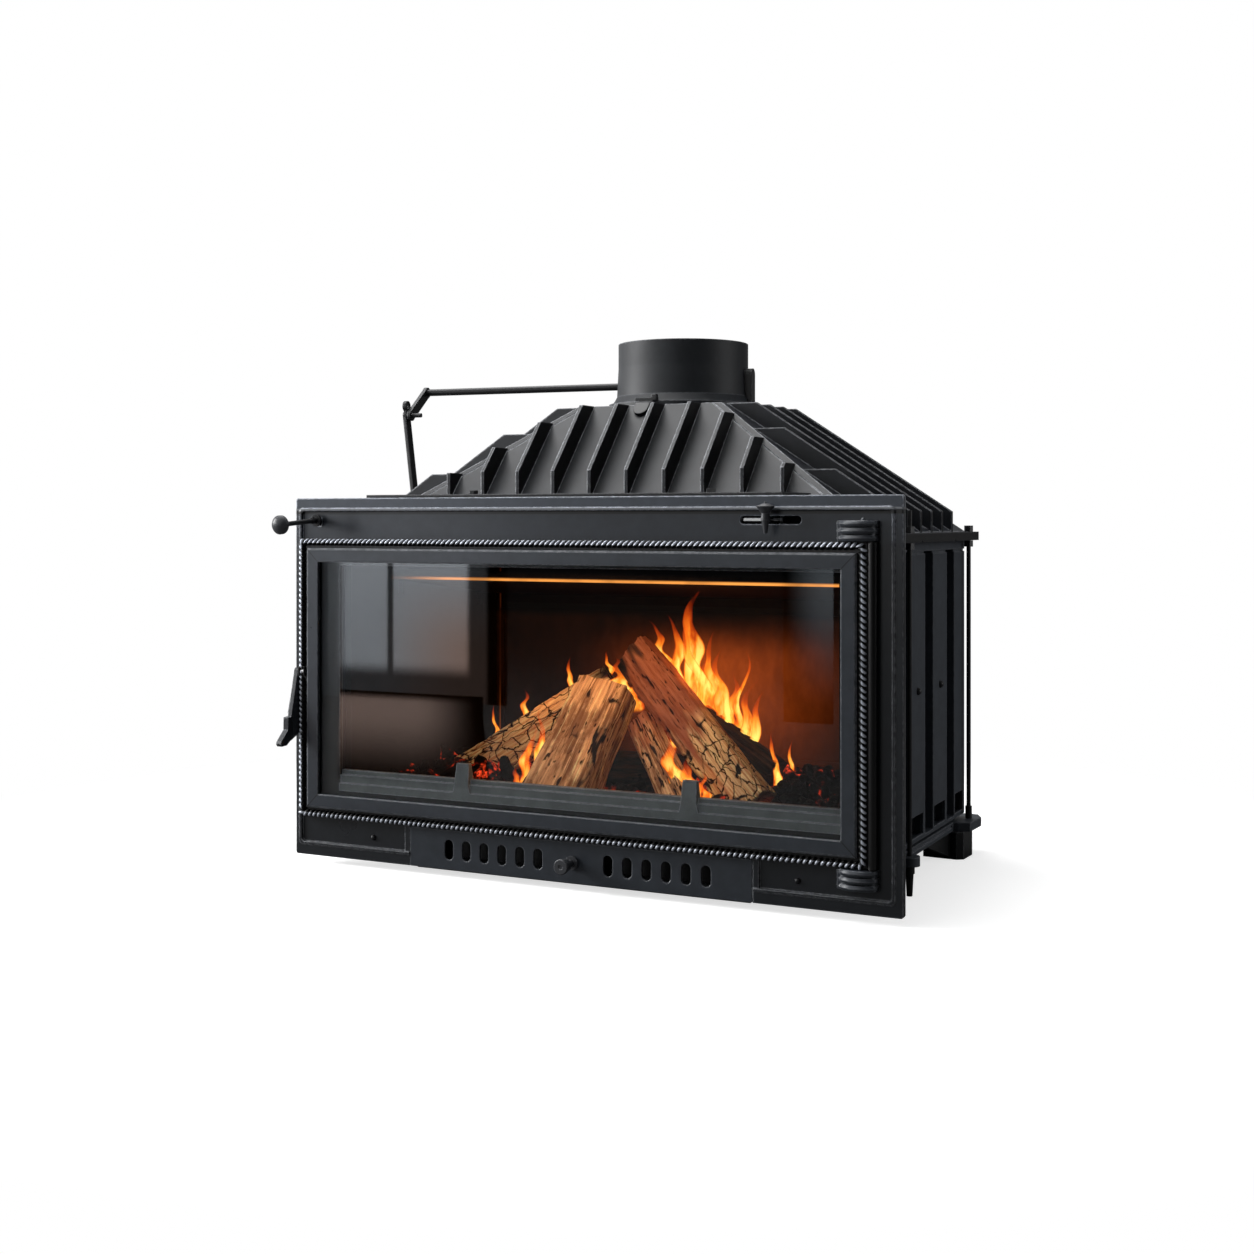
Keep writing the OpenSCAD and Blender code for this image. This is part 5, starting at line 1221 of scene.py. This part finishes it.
LIGHTS = (
    ("Top_light", (-550, 250, 2300), 1.9, "key_power"),
    ("Front_light", (-300, -2100, 1300), 1.3, "fill_power"),
    ("Left_light", (-2300, -700, 1100), 1.1, "left_power"),
    ("Right_light", (2600, 900, 900), 1.2, "right_power"),
)
FIRE_FRONT, FIRE_AIM = (-10, 60, 330), (-10, 190, 120)
FIRE_LAMPS = (((70, 205, 230), 0.75), ((-160, 220, 190), 0.35), ((150, 190, 130), 0.07))


def pale_floor():
    """A floor that is grey beside the object and fades into the white around it."""
    material, tree, shader = new_material("Pale floor")
    coords = object_coords(tree)
    reach = node(tree, "ShaderNodeVectorMath", {0: coords}, operation="LENGTH").outputs["Value"]
    far = ramp(tree, reach, 0.55, 1.1)
    direct = tree.nodes.new("ShaderNodeLightPath").outputs["Is Camera Ray"]
    tone = mix_color(tree, far, (0.60, 0.60, 0.60), (0.0, 0.0, 0.0))
    put(shader, Base_Color=mix_color(tree, direct, (0.10, 0.10, 0.10), tone))
    glow = times(tree, direct, ramp(tree, reach, 0.50, 0.9, 0.68, 1.0))
    put(shader, Emission_Color=(1, 1, 1, 1), Emission_Strength=glow, Roughness=0.9, Specular_IOR_Level=0.0)
    corners = [(-9, -6, 0), (9, -6, 0), (9, 12, 0), (-9, 12, 0)]
    floor = mesh_object("floor", corners, [(0, 1, 2, 3)], material)


def studio_world():
    """White to the camera; to the object, bright at the left and behind, dark elsewhere."""
    world = bpy.data.worlds.new("Studio")
    bpy.context.scene.world = world
    world.use_nodes = True
    sky = world.node_tree
    back = sky.nodes["Background"]
    coords = sky.nodes.new("ShaderNodeTexCoord").outputs["Generated"]
    split = axes(sky, coords)
    left = ramp(sky, split["X"], 0.6, -0.4, 0.12, 1.0)
    behind = times(sky, ramp(sky, split["Y"], -0.1, 0.6, 0.0, 0.35), left)
    up = times(sky, ramp(sky, split["Z"], 0.25, 0.85, 0.0, 0.5), left)
    aside = ramp(sky, split["X"], -0.15, -0.4)
    low = times(sky, ramp(sky, split["Z"], -0.01, 0.03), ramp(sky, split["Z"], 0.45, 0.25))
    wall = times(sky, times(sky, aside, low), 1.5)
    bright = math_node(sky, "MAXIMUM", math_node(sky, "MAXIMUM", behind, up), wall)
    direct = sky.nodes.new("ShaderNodeLightPath").outputs["Is Camera Ray"]
    bright = math_node(sky, "MAXIMUM", bright, direct)
    sky.links.new(mix_color(sky, bright, (0.02, 0.02, 0.022), (1.0, 1.0, 1.0)), back.inputs["Color"])
    back.inputs["Strength"].default_value = 1.0


def studio_lights(look):
    """The soft lights round the object and the shapes that its glass reflects."""
    focus = at(0, 100, 260)
    for name, place, size, power in LIGHTS:
        area_light(name, at(*place), focus, size, getattr(look, power))
    reflected_panes(look.pane_glow)


def fire_lights(fire):
    """Lamps that stand in for the light of the fire."""
    front = area_light("Fire_light_front", at(*FIRE_FRONT), at(*FIRE_AIM), 0.30, fire.fire_power,
                       (1.0, 0.52, 0.22), 0.06)
    front.visible_camera = front.visible_glossy = front.visible_transmission = False
    for i, (place, share) in enumerate(FIRE_LAMPS):
        lamp = bpy.data.lights.new(f"Fire_lamp_{i}", "POINT")
        lamp.energy = fire.fire_power * share
        lamp.color = (1.0, 0.34, 0.09)
        lamp.shadow_soft_size = 0.04
        obj = placed_object(f"Fire_lamp_{i}", lamp)
        obj.location = at(*place)
        obj.visible_camera = obj.visible_glossy = obj.visible_transmission = False


def photo_camera(look):
    """The camera of the photograph."""
    camera_data = bpy.data.cameras.new("Camera")
    camera_data.lens = look.lens
    camera_data.sensor_width = SENSOR
    camera_data.sensor_fit = "HORIZONTAL"
    camera_data.shift_y = look.drop
    camera_data.clip_end = 60
    camera = placed_object("Camera", camera_data)
    camera.location = Vector(look.eye) + Vector((0, FACE_Y, FOOT_GAP))
    camera.rotation_euler = (math.radians(90), 0, look.turn)
    bpy.context.scene.camera = camera


class INSERT_OT_set_stage(bpy.types.Operator):
    """Sets the floor, the lights and the camera"""
    bl_idname = "insert.set_stage"
    bl_label = "Set Stage"

    def execute(self, context):
        pale_floor()
        studio_world()
        studio_lights(context.scene.insert_studio)
        fire_lights(context.scene.insert_fire)
        photo_camera(context.scene.insert_studio)
        context.scene.view_settings.view_transform = "Standard"
        return {"FINISHED"}


class INSERT_PT_looks(bpy.types.Panel):
    """Lists the insert's settings and steps in the sidebar"""
    bl_idname = "INSERT_PT_looks"
    bl_label = "Fireplace Insert"
    bl_space_type = "VIEW_3D"
    bl_region_type = "UI"
    bl_category = "Insert"

    def draw(self, context):
        layout = self.layout
        for name in SETTINGS:
            box = layout.box()
            settings = getattr(context.scene, name)
            for key in settings.bl_rna.properties.keys():
                if key not in ("rna_type", "name"):
                    box.prop(settings, key)
        for operator in OPERATORS:
            layout.operator(operator.bl_idname)


OPERATORS = (
    INSERT_OT_set_stage, INSERT_OT_finish_castings, INSERT_OT_finish_firebox, INSERT_OT_glaze_door,
    INSERT_OT_make_rope, INSERT_OT_stack_logs, INSERT_OT_lay_embers, INSERT_OT_light_flames,
)


def register():
    for kind in (*SETTINGS.values(), *OPERATORS, INSERT_PT_looks):
        bpy.utils.register_class(kind)
    for name, kind in SETTINGS.items():
        setattr(bpy.types.Scene, name, bpy.props.PointerProperty(type=kind))


def unregister():
    for name in SETTINGS:
        delattr(bpy.types.Scene, name)
    for kind in (INSERT_PT_looks, *reversed(OPERATORS), *reversed(SETTINGS.values())):
        bpy.utils.unregister_class(kind)


def main():
    register()
    for operator in OPERATORS:
        group, name = operator.bl_idname.split(".")
        getattr(getattr(bpy.ops, group), name)()


if __name__ == "__main__":
    main()
